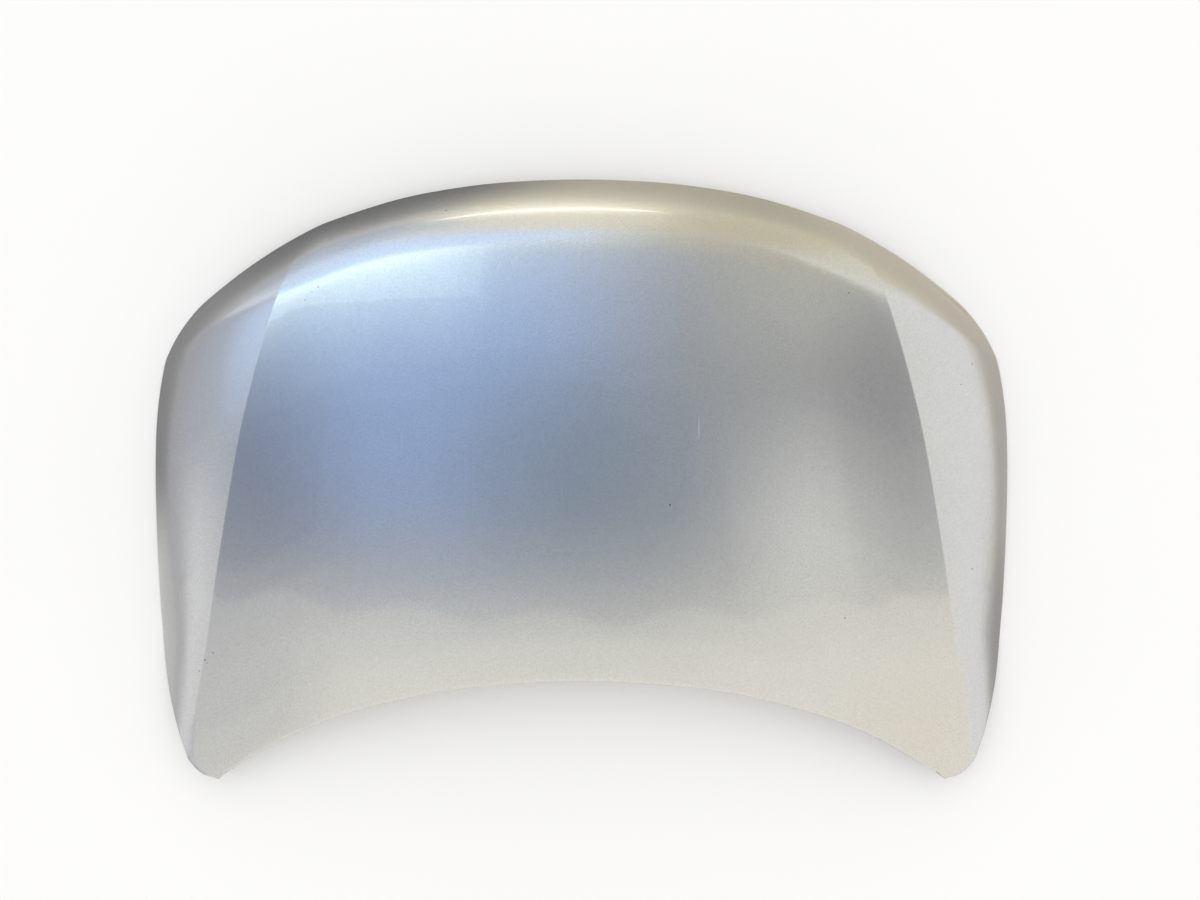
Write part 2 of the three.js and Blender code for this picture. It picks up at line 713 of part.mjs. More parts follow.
// The pockets of the pressing, each with its first and last column and row
function pockets() {
  const list = [];
  for (let row = 0; row < POCKET_ROWS; row += 1) {
    for (let pocket = 0; pocket < POCKETS_ACROSS_HALF; pocket += 1) {
      sides.forEach(({ name, sign }) => {
        const ks = pocketLines(across, pocket);
        const columns = columnsOf(sign, sign > 0 ? ks : [...ks].reverse());
        list.push({ name: `${name}_${row + 1}_${pocket + 1}`, columns, rows: pocketLines(along, row) });
      });
    }
  }
  return list;
}

function pocketHole({ columns, rows }) {
  const [west, east] = [columns[0], columns[columns.length - 1]];
  const [south, north] = [rows[0], rows[rows.length - 1]];
  const corners = [[west, south], [east, south], [east, north], [west, north]].map(([i, j]) => {
    const { at } = nodes[i][j];
    return plan(at.x, at.y);
  });
  const inner = corners.map((corner, n) => {
    const next = corners[(n + 1) % 4];
    const before = corners[(n + 3) % 4];
    return corner.clone()
      .add(next.clone().sub(corner).setLength(HOLE_MARGIN))
      .add(before.clone().sub(corner).setLength(HOLE_MARGIN));
  });
  const hole = extrude(roundedShape(inner, HOLE_CORNER), CUTTER_HEIGHT, HOLE_STEPS);
  const { z } = nodes[west][south].at;
  return hole.translate(0, 0, z - CUTTER_HEIGHT / 2 - LAND_DEPTH);
}

// A slot's tool at a grid node, turned to run along or across the panel there
function slotTool(i, j, length, width, isAcross) {
  const radius = width / 2;
  const shape = new THREE.Shape();
  shape.absarc(0, length / 2 - radius, radius, 0, Math.PI);
  shape.absarc(0, radius - length / 2, radius, Math.PI, 2 * Math.PI);
  const at = nodes[i][j].frame;
  const from = isAcross ? nodes[i - 1][j].frame : nodes[i][j - 1].frame;
  const to = isAcross ? nodes[i + 1][j].frame : nodes[i][j + 1].frame;
  const turn = Math.atan2(to.y - from.y, to.x - from.x) - Math.PI / 2;
  return extrude(shape, CUTTER_HEIGHT, HOLE_STEPS)
    .rotateZ(turn)
    .translate(at.x, at.y, at.z - CUTTER_HEIGHT / 2);
}

// Slots that lighten the side beams, beside the front pockets and by the nose, and the front beam
function beamSlots() {
  const tools = [];
  sides.forEach(({ sign }) => {
    const sideColumn = MIDDLE + sign * (HALF + 1);
    [frontPocket[0] - 1, FRONT_BEAM_ROW].forEach((j) => {
      tools.push(slotTool(sideColumn, j, SIDE_SLOT_LENGTH, SLOT_WIDTH, false));
    });
    for (let pocket = 1; pocket < POCKETS_ACROSS_HALF; pocket += 1) {
      const column = MIDDLE + sign * pocketLines(across, pocket)[1];
      tools.push(slotTool(column, FRONT_BEAM_ROW, FRONT_SLOT_LENGTH, SLOT_WIDTH, true));
    }
  });
  return tools;
}

// Radius of a polygon's corners, whose flats lie at the given diameter
function acrossFlats(diameter, corners) {
  return diameter / 2 / Math.cos(Math.PI / corners);
}

// A round hole's tool, on a seat's axis
function drill(seat, x, y, diameter) {
  const radius = acrossFlats(diameter, HOLE_SIDES);
  const tool = new THREE.CylinderGeometry(radius, radius, BEAM_DEPTH, HOLE_SIDES);
  return tool.rotateX(Math.PI / 2).translate(x, y, 0).applyMatrix4(seat);
}

const strikerBolts = [-STRIKER_BOLT_PITCH / 2, STRIKER_BOLT_PITCH / 2];
const hingeBolts = [-HINGE_BOLT_PITCH / 2, HINGE_BOLT_PITCH / 2];
const BUFFER_HOLE = BUFFER_STEM + 2 * CLEARANCE;

function innerFrame() {
  const sheet = new Sheet();
  const normals = frameNormals();
  const top = nodes.map((column) => column.map((node) => sheet.add(node.frame)));
  const bottom = nodes.map((column, i) => column.map((node, j) => {
    const normal = node.seat || (node.onRing ? node.normal : normals[i][j]);
    return sheet.add(node.frame.clone().addScaledVector(normal, -FRAME_SHEET));
  }));
  sheet.faces.push(...gridFaces((i, j) => top[i][j], true));
  sheet.faces.push(...gridFaces((i, j) => bottom[i][j], false));
  const edge = FOLD_RADIUS + CLEARANCE;
  const topEdge = ring.map((node) => sheet.add(bandPoint(node, edge, FLANGE_DEPTH)));
  const bottomEdge = ring.map((node) => sheet.add(bandPoint(node, edge, FLANGE_DEPTH + FRAME_SHEET)));
  sheet.strip(topEdge, ring.map((node) => top[node.i][node.j]));
  sheet.strip(bottomEdge, topEdge);
  sheet.strip(ring.map((node) => bottom[node.i][node.j]), bottomEdge, false);
  const tools = [
    ...pockets().map(pocketHole),
    ...beamSlots(),
    ...hingeSeats.flatMap(({ seat }) => hingeBolts.map((y) => drill(seat, 0, y, BOLT_HOLE))),
    ...strikerBolts.map((x) => drill(strikerSeat, x, 0, BOLT_HOLE)),
    ...bufferSeats.map(({ seat }) => drill(seat, 0, 0, BUFFER_HOLE)),
  ];
  return cut(sheet.geometry(), tools);
}

// A bead between the skin and a pocket's rear land
function masticBead({ columns, rows }) {
  const [first, last] = [rows[0], rows[1]];
  const point = (u, v, depth) => {
    const cell = Math.min(Math.floor(u * (columns.length - 1)), columns.length - 2);
    const s = u * (columns.length - 1) - cell;
    const mix = (key) => {
      const low = nodes[columns[cell]][first][key].clone().lerp(nodes[columns[cell + 1]][first][key], s);
      const high = nodes[columns[cell]][last][key].clone().lerp(nodes[columns[cell + 1]][last][key], s);
      return low.lerp(high, v);
    };
    return mix('at').addScaledVector(mix('normal').normalize(), -depth);
  };
  const length = nodes[columns[0]][first].at.distanceTo(nodes[columns[0]][last].at);
  const low = (HOLE_MARGIN - BEAD_WIDTH) / 2 / length;
  const high = (HOLE_MARGIN + BEAD_WIDTH) / 2 / length;
  const sheet = new Sheet();
  const sections = [];
  for (let n = 0; n <= BEAD_STEPS; n += 1) {
    const u = (1 - BEAD_SHARE) / 2 + (BEAD_SHARE * n) / BEAD_STEPS;
    sections.push([
      sheet.add(point(u, low, SKIN + BEAD_CLEARANCE)),
      sheet.add(point(u, low, LAND_DEPTH - BEAD_CLEARANCE)),
      sheet.add(point(u, high, LAND_DEPTH - BEAD_CLEARANCE)),
      sheet.add(point(u, high, SKIN + BEAD_CLEARANCE)),
    ]);
  }
  sections.slice(1).forEach((section, n) => sheet.strip(sections[n], section));
  const [a, b, c, d] = sections[0];
  const [e, f, g, h] = sections[BEAD_STEPS];
  sheet.faces.push([a, c, b], [a, d, c], [e, f, g], [e, g, h]);
  return sheet.geometry();
}

// A flat plate with round holes, its lower face at z = 0
function plate(length, width, thickness, corner, holes) {
  const corners = [[-1, -1], [1, -1], [1, 1], [-1, 1]].map(([x, y]) => (
    plan((x * length) / 2, (y * width) / 2)));
  const shape = roundedShape(corners, corner);
  holes.forEach(([x, y, diameter]) => {
    const path = new THREE.Path();
    path.absarc(x, y, acrossFlats(diameter, BORE_SIDES), 0, 2 * Math.PI, true);
    shape.holes.push(path);
  });
  return extrude(shape, thickness, CORNER_STEPS);
}

// A weld nut, its lower face at z = 0
function weldNut() {
  const radius = acrossFlats(NUT_ACROSS, HEX_SIDES);
  const corners = [0, 1, 2, 3, 4, 5].map((n) => heading((n * 2 * Math.PI) / HEX_SIDES, radius));
  const shape = new THREE.Shape(corners);
  const bore = new THREE.Path();
  bore.absarc(0, 0, acrossFlats(BOLT + 2 * CLEARANCE, BORE_SIDES), 0, 2 * Math.PI, true);
  shape.holes.push(bore);
  return extrude(shape, NUT_HEIGHT, CORNER_STEPS);
}

// A flanged bolt along z, its flange on z = 0 and its shank going up
function bolt(length) {
  const headRadius = acrossFlats(BOLT_HEAD_ACROSS, HEX_SIDES);
  const head = new THREE.CylinderGeometry(headRadius, headRadius, BOLT_HEAD_HEIGHT, HEX_SIDES);
  head.rotateX(Math.PI / 2).translate(0, 0, -BOLT_FLANGE_HEIGHT / 2 - BOLT_HEAD_HEIGHT / 2);
  const flange = BOLT_FLANGE / 2;
  const profile = [
    plan(0, -BOLT_FLANGE_HEIGHT), plan(flange - BOLT_FLANGE_CHAMFER, -BOLT_FLANGE_HEIGHT),
    plan(flange, -BOLT_FLANGE_CHAMFER), plan(flange, 0), plan(BOLT / 2, 0),
    plan(BOLT / 2, length - BOLT_TIP_CHAMFER), plan(BOLT / 2 - BOLT_TIP_CHAMFER, length), plan(0, length),
  ];
  const turned = new THREE.LatheGeometry(profile, TURNED_SIDES).rotateX(Math.PI / 2);
  return join([turned, head]);
}

// The striker: a bent wire whose two ends stand on z = 0 and whose bow hangs below
function strikerLoop() {
  const half = STRIKER_SPAN / 2;
  const path = new THREE.CurvePath();
  const v = (x, z) => new THREE.Vector3(x, 0, z);
  path.add(new THREE.LineCurve3(v(-half, 0), v(-half, STRIKER_BEND - STRIKER_DROP)));
  path.add(new THREE.QuadraticBezierCurve3(
    v(-half, STRIKER_BEND - STRIKER_DROP), v(-half, -STRIKER_DROP), v(STRIKER_BEND - half, -STRIKER_DROP)));
  path.add(new THREE.LineCurve3(
    v(STRIKER_BEND - half, -STRIKER_DROP), v(half - STRIKER_BEND, -STRIKER_DROP)));
  path.add(new THREE.QuadraticBezierCurve3(
    v(half - STRIKER_BEND, -STRIKER_DROP), v(half, -STRIKER_DROP), v(half, STRIKER_BEND - STRIKER_DROP)));
  path.add(new THREE.LineCurve3(v(half, STRIKER_BEND - STRIKER_DROP), v(half, 0)));
  const section = new THREE.Shape();
  section.absarc(0, 0, STRIKER_WIRE / 2, 0, 2 * Math.PI);
  return new THREE.ExtrudeGeometry(section, {
    steps: LOOP_STEPS, curveSegments: CORNER_STEPS, bevelEnabled: false, extrudePath: path,
  });
}

// A push-in rubber buffer, its head hanging from z = 0 and its stem going up through the frame
function buffer() {
  const neck = FRAME_SHEET + 2 * CLEARANCE;
  const head = BUFFER_HEAD / 2;
  const stem = BUFFER_STEM / 2;
  const profile = [
    plan(0, -BUFFER_HEIGHT), plan(head - BUFFER_CHAMFER, -BUFFER_HEIGHT),
    plan(head, BUFFER_CHAMFER - BUFFER_HEIGHT), plan(head, 0),
    plan(stem, 0), plan(stem, neck), plan(BUFFER_BARB / 2, neck),
    plan(stem - BUFFER_TIP_TAPER, neck + BUFFER_BARB_LENGTH), plan(0, neck + BUFFER_BARB_LENGTH),
  ];
  return new THREE.LatheGeometry(profile, BUFFER_SIDES).rotateX(Math.PI / 2);
}

const panel = [];

function place(name, geometry, look, seat = null, offset = [0, 0, 0]) {
  const placed = clean(geometry).translate(...offset);
  if (seat) placed.applyMatrix4(seat);
  panel.push({ name, geometry: placed, look });
}

place('outer_skin', outerSkin(), paint);
place('inner_frame', innerFrame(), primer);
pockets().forEach((pocket) => place(`mastic_bead_${pocket.name}`, masticBead(pocket), mastic));

// Above a seat pieces stand on the frame's upper face, and below it they hang from its lower face
const above = CLEARANCE;
const below = -FRAME_SHEET - CLEARANCE;
const onPlate = above + REINFORCEMENT + CLEARANCE;

hingeSeats.forEach(({ name, seat }) => {
  const holes = hingeBolts.map((y) => [0, y, BOLT_HOLE]);
  const reinforcement = plate(
    HINGE_PLATE_WIDTH, HINGE_PLATE_LENGTH, REINFORCEMENT, HINGE_PLATE_CORNER, holes);
  place(`hinge_reinforcement_${name}`, reinforcement, zinc, seat, [0, 0, above]);
  hingeBolts.forEach((y, n) => place(`hinge_nut_${name}_${n + 1}`, weldNut(), zinc, seat, [0, y, onPlate]));
});

const strikerHoles = strikerBolts.map((x) => [x, 0, BOLT_HOLE]);
const latchPlate = (thickness) => (
  plate(STRIKER_PLATE_LENGTH, STRIKER_PLATE_WIDTH, thickness, STRIKER_PLATE_CORNER, strikerHoles));
place('latch_reinforcement', latchPlate(REINFORCEMENT), zinc, strikerSeat, [0, 0, above]);
place('striker_plate', latchPlate(STRIKER_PLATE), zinc, strikerSeat, [0, 0, below - STRIKER_PLATE]);
place('striker_loop', strikerLoop(), zinc, strikerSeat, [0, 0, below - STRIKER_PLATE - CLEARANCE]);
strikerBolts.forEach((x, n) => {
  const length = STRIKER_PLATE + FRAME_SHEET + REINFORCEMENT + NUT_HEIGHT + 5 * CLEARANCE;
  place(`striker_bolt_${n + 1}`, bolt(length), zinc, strikerSeat, [x, 0, below - STRIKER_PLATE - CLEARANCE]);
  place(`latch_nut_${n + 1}`, weldNut(), zinc, strikerSeat, [x, 0, onPlate]);
});
bufferSeats.forEach(({ name, seat }) => place(`buffer_${name}`, buffer(), rubber, seat, [0, 0, below]));

const STEEPEST_REST = THREE.MathUtils.degToRad(20);
const PITCH_HALVINGS = 40;

// Resting pitch: the panel is turned until its lowest points front and rear are level
function lowest(turn, front) {
  let low = Infinity;
  const point = new THREE.Vector3();
  panel.forEach(({ geometry }) => {
    const position = geometry.getAttribute('position');
    for (let n = 0; n < position.count; n += 1) {
      point.fromBufferAttribute(position, n);
      if (point.y > 0 === front) low = Math.min(low, point.y * Math.sin(turn) + point.z * Math.cos(turn));
    }
  });
  return low;
}

function restingPitch() {
  let [level, steep] = [0, STEEPEST_REST];
  for (let n = 0; n < PITCH_HALVINGS; n += 1) {
    const turn = (level + steep) / 2;
    if (lowest(turn, true) < lowest(turn, false)) level = turn;
    else steep = turn;
  }
  return (level + steep) / 2;
}

const pitch = new THREE.Matrix4().makeRotationX(restingPitch());
const box = new THREE.Box3();
panel.forEach(({ geometry }) => {
  geometry.applyMatrix4(pitch);
  geometry.computeBoundingBox();
  box.union(geometry.boundingBox);
});
const centre = box.getCenter(new THREE.Vector3());

const bonnet = new THREE.Group();
bonnet.name = 'car_bonnet';
panel.forEach(({ name, geometry, look }) => {
  const faceted = geometry.translate(-centre.x, -centre.y, -box.min.z).toNonIndexed();
  faceted.computeVertexNormals();
  const mesh = new THREE.Mesh(faceted, new THREE.MeshStandardMaterial(look));
  mesh.name = name;
  bonnet.add(mesh);
});

export default bonnet;
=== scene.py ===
"""Looks of a silver steel car bonnet, lying skin up on a pale studio floor."""
import math
from typing import NamedTuple

import bmesh
import bpy
from bpy.props import FloatProperty, FloatVectorProperty, IntProperty, PointerProperty
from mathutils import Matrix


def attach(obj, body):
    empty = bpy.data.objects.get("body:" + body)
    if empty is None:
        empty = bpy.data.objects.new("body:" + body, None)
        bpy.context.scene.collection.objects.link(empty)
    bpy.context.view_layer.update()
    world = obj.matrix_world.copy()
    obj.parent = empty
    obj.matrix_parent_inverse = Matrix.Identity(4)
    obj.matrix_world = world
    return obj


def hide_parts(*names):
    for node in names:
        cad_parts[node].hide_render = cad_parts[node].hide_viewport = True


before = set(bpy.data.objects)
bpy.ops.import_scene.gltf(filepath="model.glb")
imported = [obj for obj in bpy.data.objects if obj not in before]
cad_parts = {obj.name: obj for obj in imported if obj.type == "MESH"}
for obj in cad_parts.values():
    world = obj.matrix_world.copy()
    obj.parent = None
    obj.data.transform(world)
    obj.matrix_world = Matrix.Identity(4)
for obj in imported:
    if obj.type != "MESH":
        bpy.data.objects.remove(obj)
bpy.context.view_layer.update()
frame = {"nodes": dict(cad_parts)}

bl_info = {
    "name": "Car Bonnet Finish",
    "version": (1, 0, 0),
    "blender": (4, 5, 0),
    "location": "View3D > Sidebar > Bonnet",
    "description": "Finishes a hemmed steel bonnet and sets it in a plain studio",
    "category": "Object",
}

# Corners nearer to each other than this are one
MERGE = 0.00002
BODY = "root"
SIDES = ("left", "right")
POCKETS = [f"{side}_{row}_{column}" for row in (1, 2, 3) for column in (1, 2, 3) for side in SIDES]
FLAT_HARDWARE = [
    *(f"hinge_reinforcement_{side}" for side in SIDES),
    *(f"hinge_nut_{side}_{number}" for side in SIDES for number in (1, 2)),
    "latch_reinforcement", "latch_nut_1", "latch_nut_2", "striker_plate", "striker_bolt_1", "striker_bolt_2",
]
BUFFERS = [f"buffer_{end}_{side}" for end in ("front", "rear") for side in SIDES]
# Subdivision levels of the striker loop, the buffers and the mastic beads
SMALL_PIECE_LEVELS = 2

# The right body line in plan: how far along the bonnet, and how far from its middle
CREASE_LINE = (
    (-0.4118, 0.6375), (-0.3967, 0.6384), (-0.3006, 0.6156), (-0.0524, 0.5749), (0.1067, 0.5439),
    (0.1942, 0.522), (0.2807, 0.496), (0.4, 0.4561),
)
# An edge belongs to the line if its ends are this near and most of its length runs along the bonnet
CREASE_REACH = 0.006
CREASE_ALONG = 0.6
# Where the body line turns soft towards the nose
CREASE_FADE = (0.35, 0.39)
# The right rear tip's corners, in plan, and how near to one a vertex belongs to it
TIP_CORNERS = ((0.599, -0.5035), (0.652, -0.471))
CORNER_REACH = 0.007

# Chips in the paint, in plan: x, y and radius, and the share of the radius that is bare all over
CHIPS = (
    (0.1402, -0.0532, 0.0016), (-0.6016, -0.2932, 0.0011), (-0.6157, -0.305, 0.0013),
    (-0.6123, -0.3099, 0.0009), (-0.6266, -0.3234, 0.0011), (0.4236, -0.234, 0.0011),
    (-0.4465, 0.2778, 0.0009), (-0.4253, 0.2986, 0.001), (-0.4351, 0.2906, 0.0008),
    (0.4318, 0.2889, 0.0012), (-0.2227, 0.4318, 0.0014), (0.6508, 0.1833, 0.0011),
    (0.6255, 0.1466, 0.0009), (0.6412, -0.1566, 0.0012), (0.3102, 0.1231, 0.0007),
)
CHIP_CORE = 0.6
CHIP_COLOUR = (0.08, 0.075, 0.07)
# One hairline scratch along the bonnet: its middle in plan, half width, soft edge and how it is drawn out
SCRATCH = (0.1864, 0.068)
SCRATCH_WIDTH = 0.0003
SCRATCH_SOFTNESS = 0.0005
SCRATCH_STRETCH = (1, 0.04, 0)
SCRATCH_COLOUR = (0.8, 0.8, 0.79)
SCRATCH_STRENGTH = 0.35
WORN_ROUGHNESS = 0.6
WORN_COAT = 0.1
# How much the base coat's tone changes from flake to flake and from place to place
FLAKE_TONE = (0.86, 1.12)
CLOUD_TONE = (0.985, 1.015)
# The middle part of a noise, where most of its values lie
NOISE_MIDDLE = (0.3, 0.7)

# The photo's width and the sideways shift of its view, in pixels
PHOTO_WIDTH = 1200
PHOTO_SHIFT = 18.5
SENSOR_WIDTH = 36
FLOOR_SIZE = 14
FLOOR_SHADE = 0.985
# Places of the cards that the paint mirrors, and the strip light's colour
STRIP_Y = 1.17
FRONT_WALL_Y = 3.4
LEFT_WALL_X = -3.2
GROUND_Z = 0.002
WINDOW_DROP = 0.05
STRIP_COLOUR = (1.0, 0.95, 0.78)
# The ceiling turns into its front part between these, and into its rear part at a scalloped edge
CEILING_AHEAD = (0.85, 1.75)
CEILING_REAR_EDGE = (-1.16, -1.1)
SCALLOP_DEPTH = 0.045
SCALLOP_SPACING = 0.952
# The oval of painted shade on the ground card round the bonnet, which only the paint mirrors: half its width
# and length, and its soft edge as a share of them
NEAR_GROUND_SHADE = (0.74, 0.53)
NEAR_GROUND_SHADE_SOFTNESS = 0.8


class SkinSettings(bpy.types.PropertyGroup):
    """Shape and paint of the outer skin"""
    levels: IntProperty(
        name="Surface levels", description="Subdivision levels of the outer skin", default=2, min=1, max=2)
    crease_width: FloatProperty(
        name="Crease width", description="Half the width of the rounded body lines", default=0.0012,
        unit="LENGTH")
    silver: FloatVectorProperty(
        name="Silver", description="Colour of the metallic base coat",
        default=(0.62, 0.62, 0.62), size=3, min=0, max=1, subtype="COLOR")
    flake_roughness: FloatProperty(
        name="Flake roughness", description="Spread of the light off the metal flakes", default=0.27, min=0,
        max=1)
    coat_roughness: FloatProperty(
        name="Coat roughness", description="Haze of the clear coat", default=0.03, min=0, max=1)


class FrameSettings(bpy.types.PropertyGroup):
    """Shape and paint of the pressed inner frame"""
    levels: IntProperty(
        name="Surface levels", description="Subdivision levels of the inner frame", default=2, min=1, max=2)
    sheet: FloatProperty(
        name="Sheet", description="Thickness of the inner frame's sheet", default=0.0007, unit="LENGTH")
    colour: FloatVectorProperty(
        name="Colour", description="Thin silver base coat on the inner side",
        default=(0.5, 0.505, 0.51), size=3, min=0, max=1, subtype="COLOR")


class FittingSettings(bpy.types.PropertyGroup):
    """Edges and finishes of the fittings under the bonnet"""
    edge_radius: FloatProperty(
        name="Edge radius", description="Broken edges of plates, nuts and bolts", default=0.0004,
        unit="LENGTH")
    zinc: FloatVectorProperty(
        name="Zinc", description="Passivated zinc plating",
        default=(0.62, 0.59, 0.47), size=3, min=0, max=1, subtype="COLOR")
    rubber: FloatVectorProperty(
        name="Rubber", description="Moulded black rubber",
        default=(0.022, 0.022, 0.023), size=3, min=0, max=1, subtype="COLOR")
    mastic: FloatVectorProperty(
        name="Mastic", description="Cured anti-flutter mastic",
        default=(0.7, 0.67, 0.58), size=3, min=0, max=1, subtype="COLOR")


class StudioSettings(bpy.types.PropertyGroup):
    """Camera, floor and light of the studio"""
    camera_height: FloatProperty(
        name="Camera height", description="Height of the lens above the floor", default=1.9971, unit="LENGTH")
    camera_back: FloatProperty(
        name="Camera back", description="How far the lens lies behind the bonnet's middle",
        default=0.0881, unit="LENGTH")
    camera_pitch: FloatProperty(
        name="Camera pitch", description="Forward tilt of the view from straight down",
        default=math.radians(3.7785), subtype="ANGLE")
    lens: FloatProperty(name="Lens", description="Focal length in millimetres", default=35)
    shift: FloatProperty(
        name="Shift", description="Sideways shift of the view, in image widths",
        default=PHOTO_SHIFT / PHOTO_WIDTH)
    floor_colour: FloatVectorProperty(
        name="Floor", description="Plain pale floor", default=(0.985, 0.985, 0.985), size=3, min=0, max=1,
        subtype="COLOR")
    room_light: FloatVectorProperty(
        name="Room light", description="Even light from the white room", default=(1.0, 0.995, 0.985), size=3,
        min=0, max=1, subtype="COLOR")
    card_height: FloatProperty(
        name="Card height", description="Height of the ceiling card", default=3.0, unit="LENGTH")
    window_light: FloatProperty(
        name="Window light", description="Brightness of the window seen in the skin", default=2.1, min=0)
    strip_light: FloatProperty(
        name="Strip light", description="Brightness of the strip seen in the nose", default=3.8, min=0)


def settings():
    return bpy.context.scene.bonnet_finish


def deselect():
    if bpy.context.object and bpy.context.object.mode != "OBJECT":
        bpy.ops.object.mode_set(mode="OBJECT")
    bpy.ops.object.select_all(action="DESELECT")


def activate(piece):
    deselect()
    piece.select_set(True)
    bpy.context.view_layer.objects.active = piece


def merged_copy(node, name):
    """A new piece with a CAD node's shape and shared corners."""
    piece = bpy.data.objects.new(name, frame["nodes"][node].data.copy())
    piece.data.name = name
    piece.data.materials.clear()
    bpy.context.collection.objects.link(piece)
    activate(piece)
    bpy.ops.object.mode_set(mode="EDIT")
    bpy.ops.mesh.select_all(action="SELECT")
    bpy.ops.mesh.remove_doubles(threshold=MERGE)
    bpy.ops.mesh.customdata_custom_splitnormals_clear()
    bpy.ops.object.mode_set(mode="OBJECT")
    return piece


def join_triangles(piece, bend=math.radians(20), skew=math.radians(60)):
    """Joins pairs of triangles into regular quads, never across a seam."""
    activate(piece)
    bpy.ops.object.mode_set(mode="EDIT")
    bpy.ops.mesh.select_all(action="SELECT")
    bpy.ops.mesh.tris_convert_to_quads(
        face_threshold=bend, shape_threshold=skew, topology_influence=2.0, seam=True)
    bpy.ops.object.mode_set(mode="OBJECT")


def crease_edges(piece, weight):
    """Gives each edge the crease that weight(edge) says."""
    mesh = bmesh.new()
    mesh.from_mesh(piece.data)
    layer = mesh.edges.layers.float.get("crease_edge") or mesh.edges.layers.float.new("crease_edge")
    for edge in mesh.edges:
        edge[layer] = weight(edge)
    mesh.to_mesh(piece.data)
    mesh.free()


def bend_of(edge):
    """The angle between an edge's two faces, or the widest one where it hasn't two."""
    return edge.calc_face_angle(0) if edge.is_manifold else math.pi


def apply_modifier(piece, kind, **values):
    """Shapes a piece by one modifier, for good."""
    activate(piece)
    modifier = piece.modifiers.new(kind, kind)
    for name, value in values.items():
        setattr(modifier, name, value)
    bpy.ops.object.modifier_apply(modifier=modifier.name)


def subdivide(piece, levels):
    apply_modifier(piece, "SUBSURF", levels=levels, render_levels=levels)


def smooth(piece, angle=math.radians(35)):
    activate(piece)
    bpy.ops.object.shade_smooth_by_angle(angle=angle)


def finish_piece(piece, material, slot, *nodes):
    """Gives a piece its material and body, and hides the CAD nodes that it stands for; the slot is not used.
    """
    piece.data.materials.clear()
    piece.data.materials.append(material)
    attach(piece, BODY)
    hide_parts(*nodes)
    deselect()


# Materials


def new_material(name):
    material = bpy.data.materials.new(name)
    material.use_nodes = True
    tree = material.node_tree
    return material, tree, tree.nodes["Principled BSDF"]


def add(tree, kind, **values):
    node = tree.nodes.new(kind)
    for name, value in values.items():
        setattr(node, name, value)
    return node


def link(tree, source, target):
    tree.links.new(source, target)


def object_coordinates(tree):
    return add(tree, "ShaderNodeTexCoord").outputs["Object"]


def noise(tree, coordinates, scale, detail=2.0, roughness=0.5):
    node = add(tree, "ShaderNodeTexNoise")
    node.inputs["Scale"].default_value = scale
    node.inputs["Detail"].default_value = detail
    node.inputs["Roughness"].default_value = roughness
    link(tree, coordinates, node.inputs["Vector"])
    return node.outputs["Fac"]


def map_range(tree, value, result=(0, 1), span=(0, 1), **kind):
    """Turns a span of values into a span of results, and holds it at both ends."""
    node = add(tree, "ShaderNodeMapRange", clamp=True, **kind)
    for socket, number in zip(node.inputs[1:5], (*span, *result)):
        socket.default_value = number
    link(tree, value, node.inputs["Value"])
    return node.outputs["Result"]


def mix_colour(tree, factor, first, second, blend="MIX"):
    node = add(tree, "ShaderNodeMix", data_type="RGBA", blend_type=blend)
    for name, value in (("Factor", factor), ("A", first), ("B", second)):
        socket = node.inputs[name]
        if isinstance(value, bpy.types.NodeSocket):
            link(tree, value, socket)
        elif isinstance(value, float):
            socket.default_value = value
        else:
            socket.default_value = (*value, 1)
    return node.outputs["Result"]


def math_node(tree, operation, first, second=0.0):
    node = add(tree, "ShaderNodeMath", operation=operation)
    for socket, value in zip(node.inputs, (first, second)):
        if isinstance(value, bpy.types.NodeSocket):
            link(tree, value, socket)
        else:
            socket.default_value = value
    return node.outputs["Value"]


def bump(tree, height, distance, strength):
    node = add(tree, "ShaderNodeBump")
    node.inputs["Distance"].default_value = distance
    node.inputs["Strength"].default_value = strength
    link(tree, height, node.inputs["Height"])
    return node.outputs["Normal"]


def group_tree(name, inputs, outputs):
    tree = bpy.data.node_groups.new(name, "ShaderNodeTree")
    for label, kind, default in inputs:
        socket = tree.interface.new_socket(name=label, in_out="INPUT", socket_type=kind)
        if default is not None:
            socket.default_value = default
    for label, kind in outputs:
        tree.interface.new_socket(name=label, in_out="OUTPUT", socket_type=kind)
    return tree, tree.nodes.new("NodeGroupInput"), tree.nodes.new("NodeGroupOutput")


def place_group(tree, group, **values):
    node = tree.nodes.new("ShaderNodeGroup")
    node.node_tree = group
    for label, value in values.items():
        socket = node.inputs[label.capitalize()]
        if isinstance(value, bpy.types.NodeSocket):
            link(tree, value, socket)
        else:
            socket.default_value = value
    return node


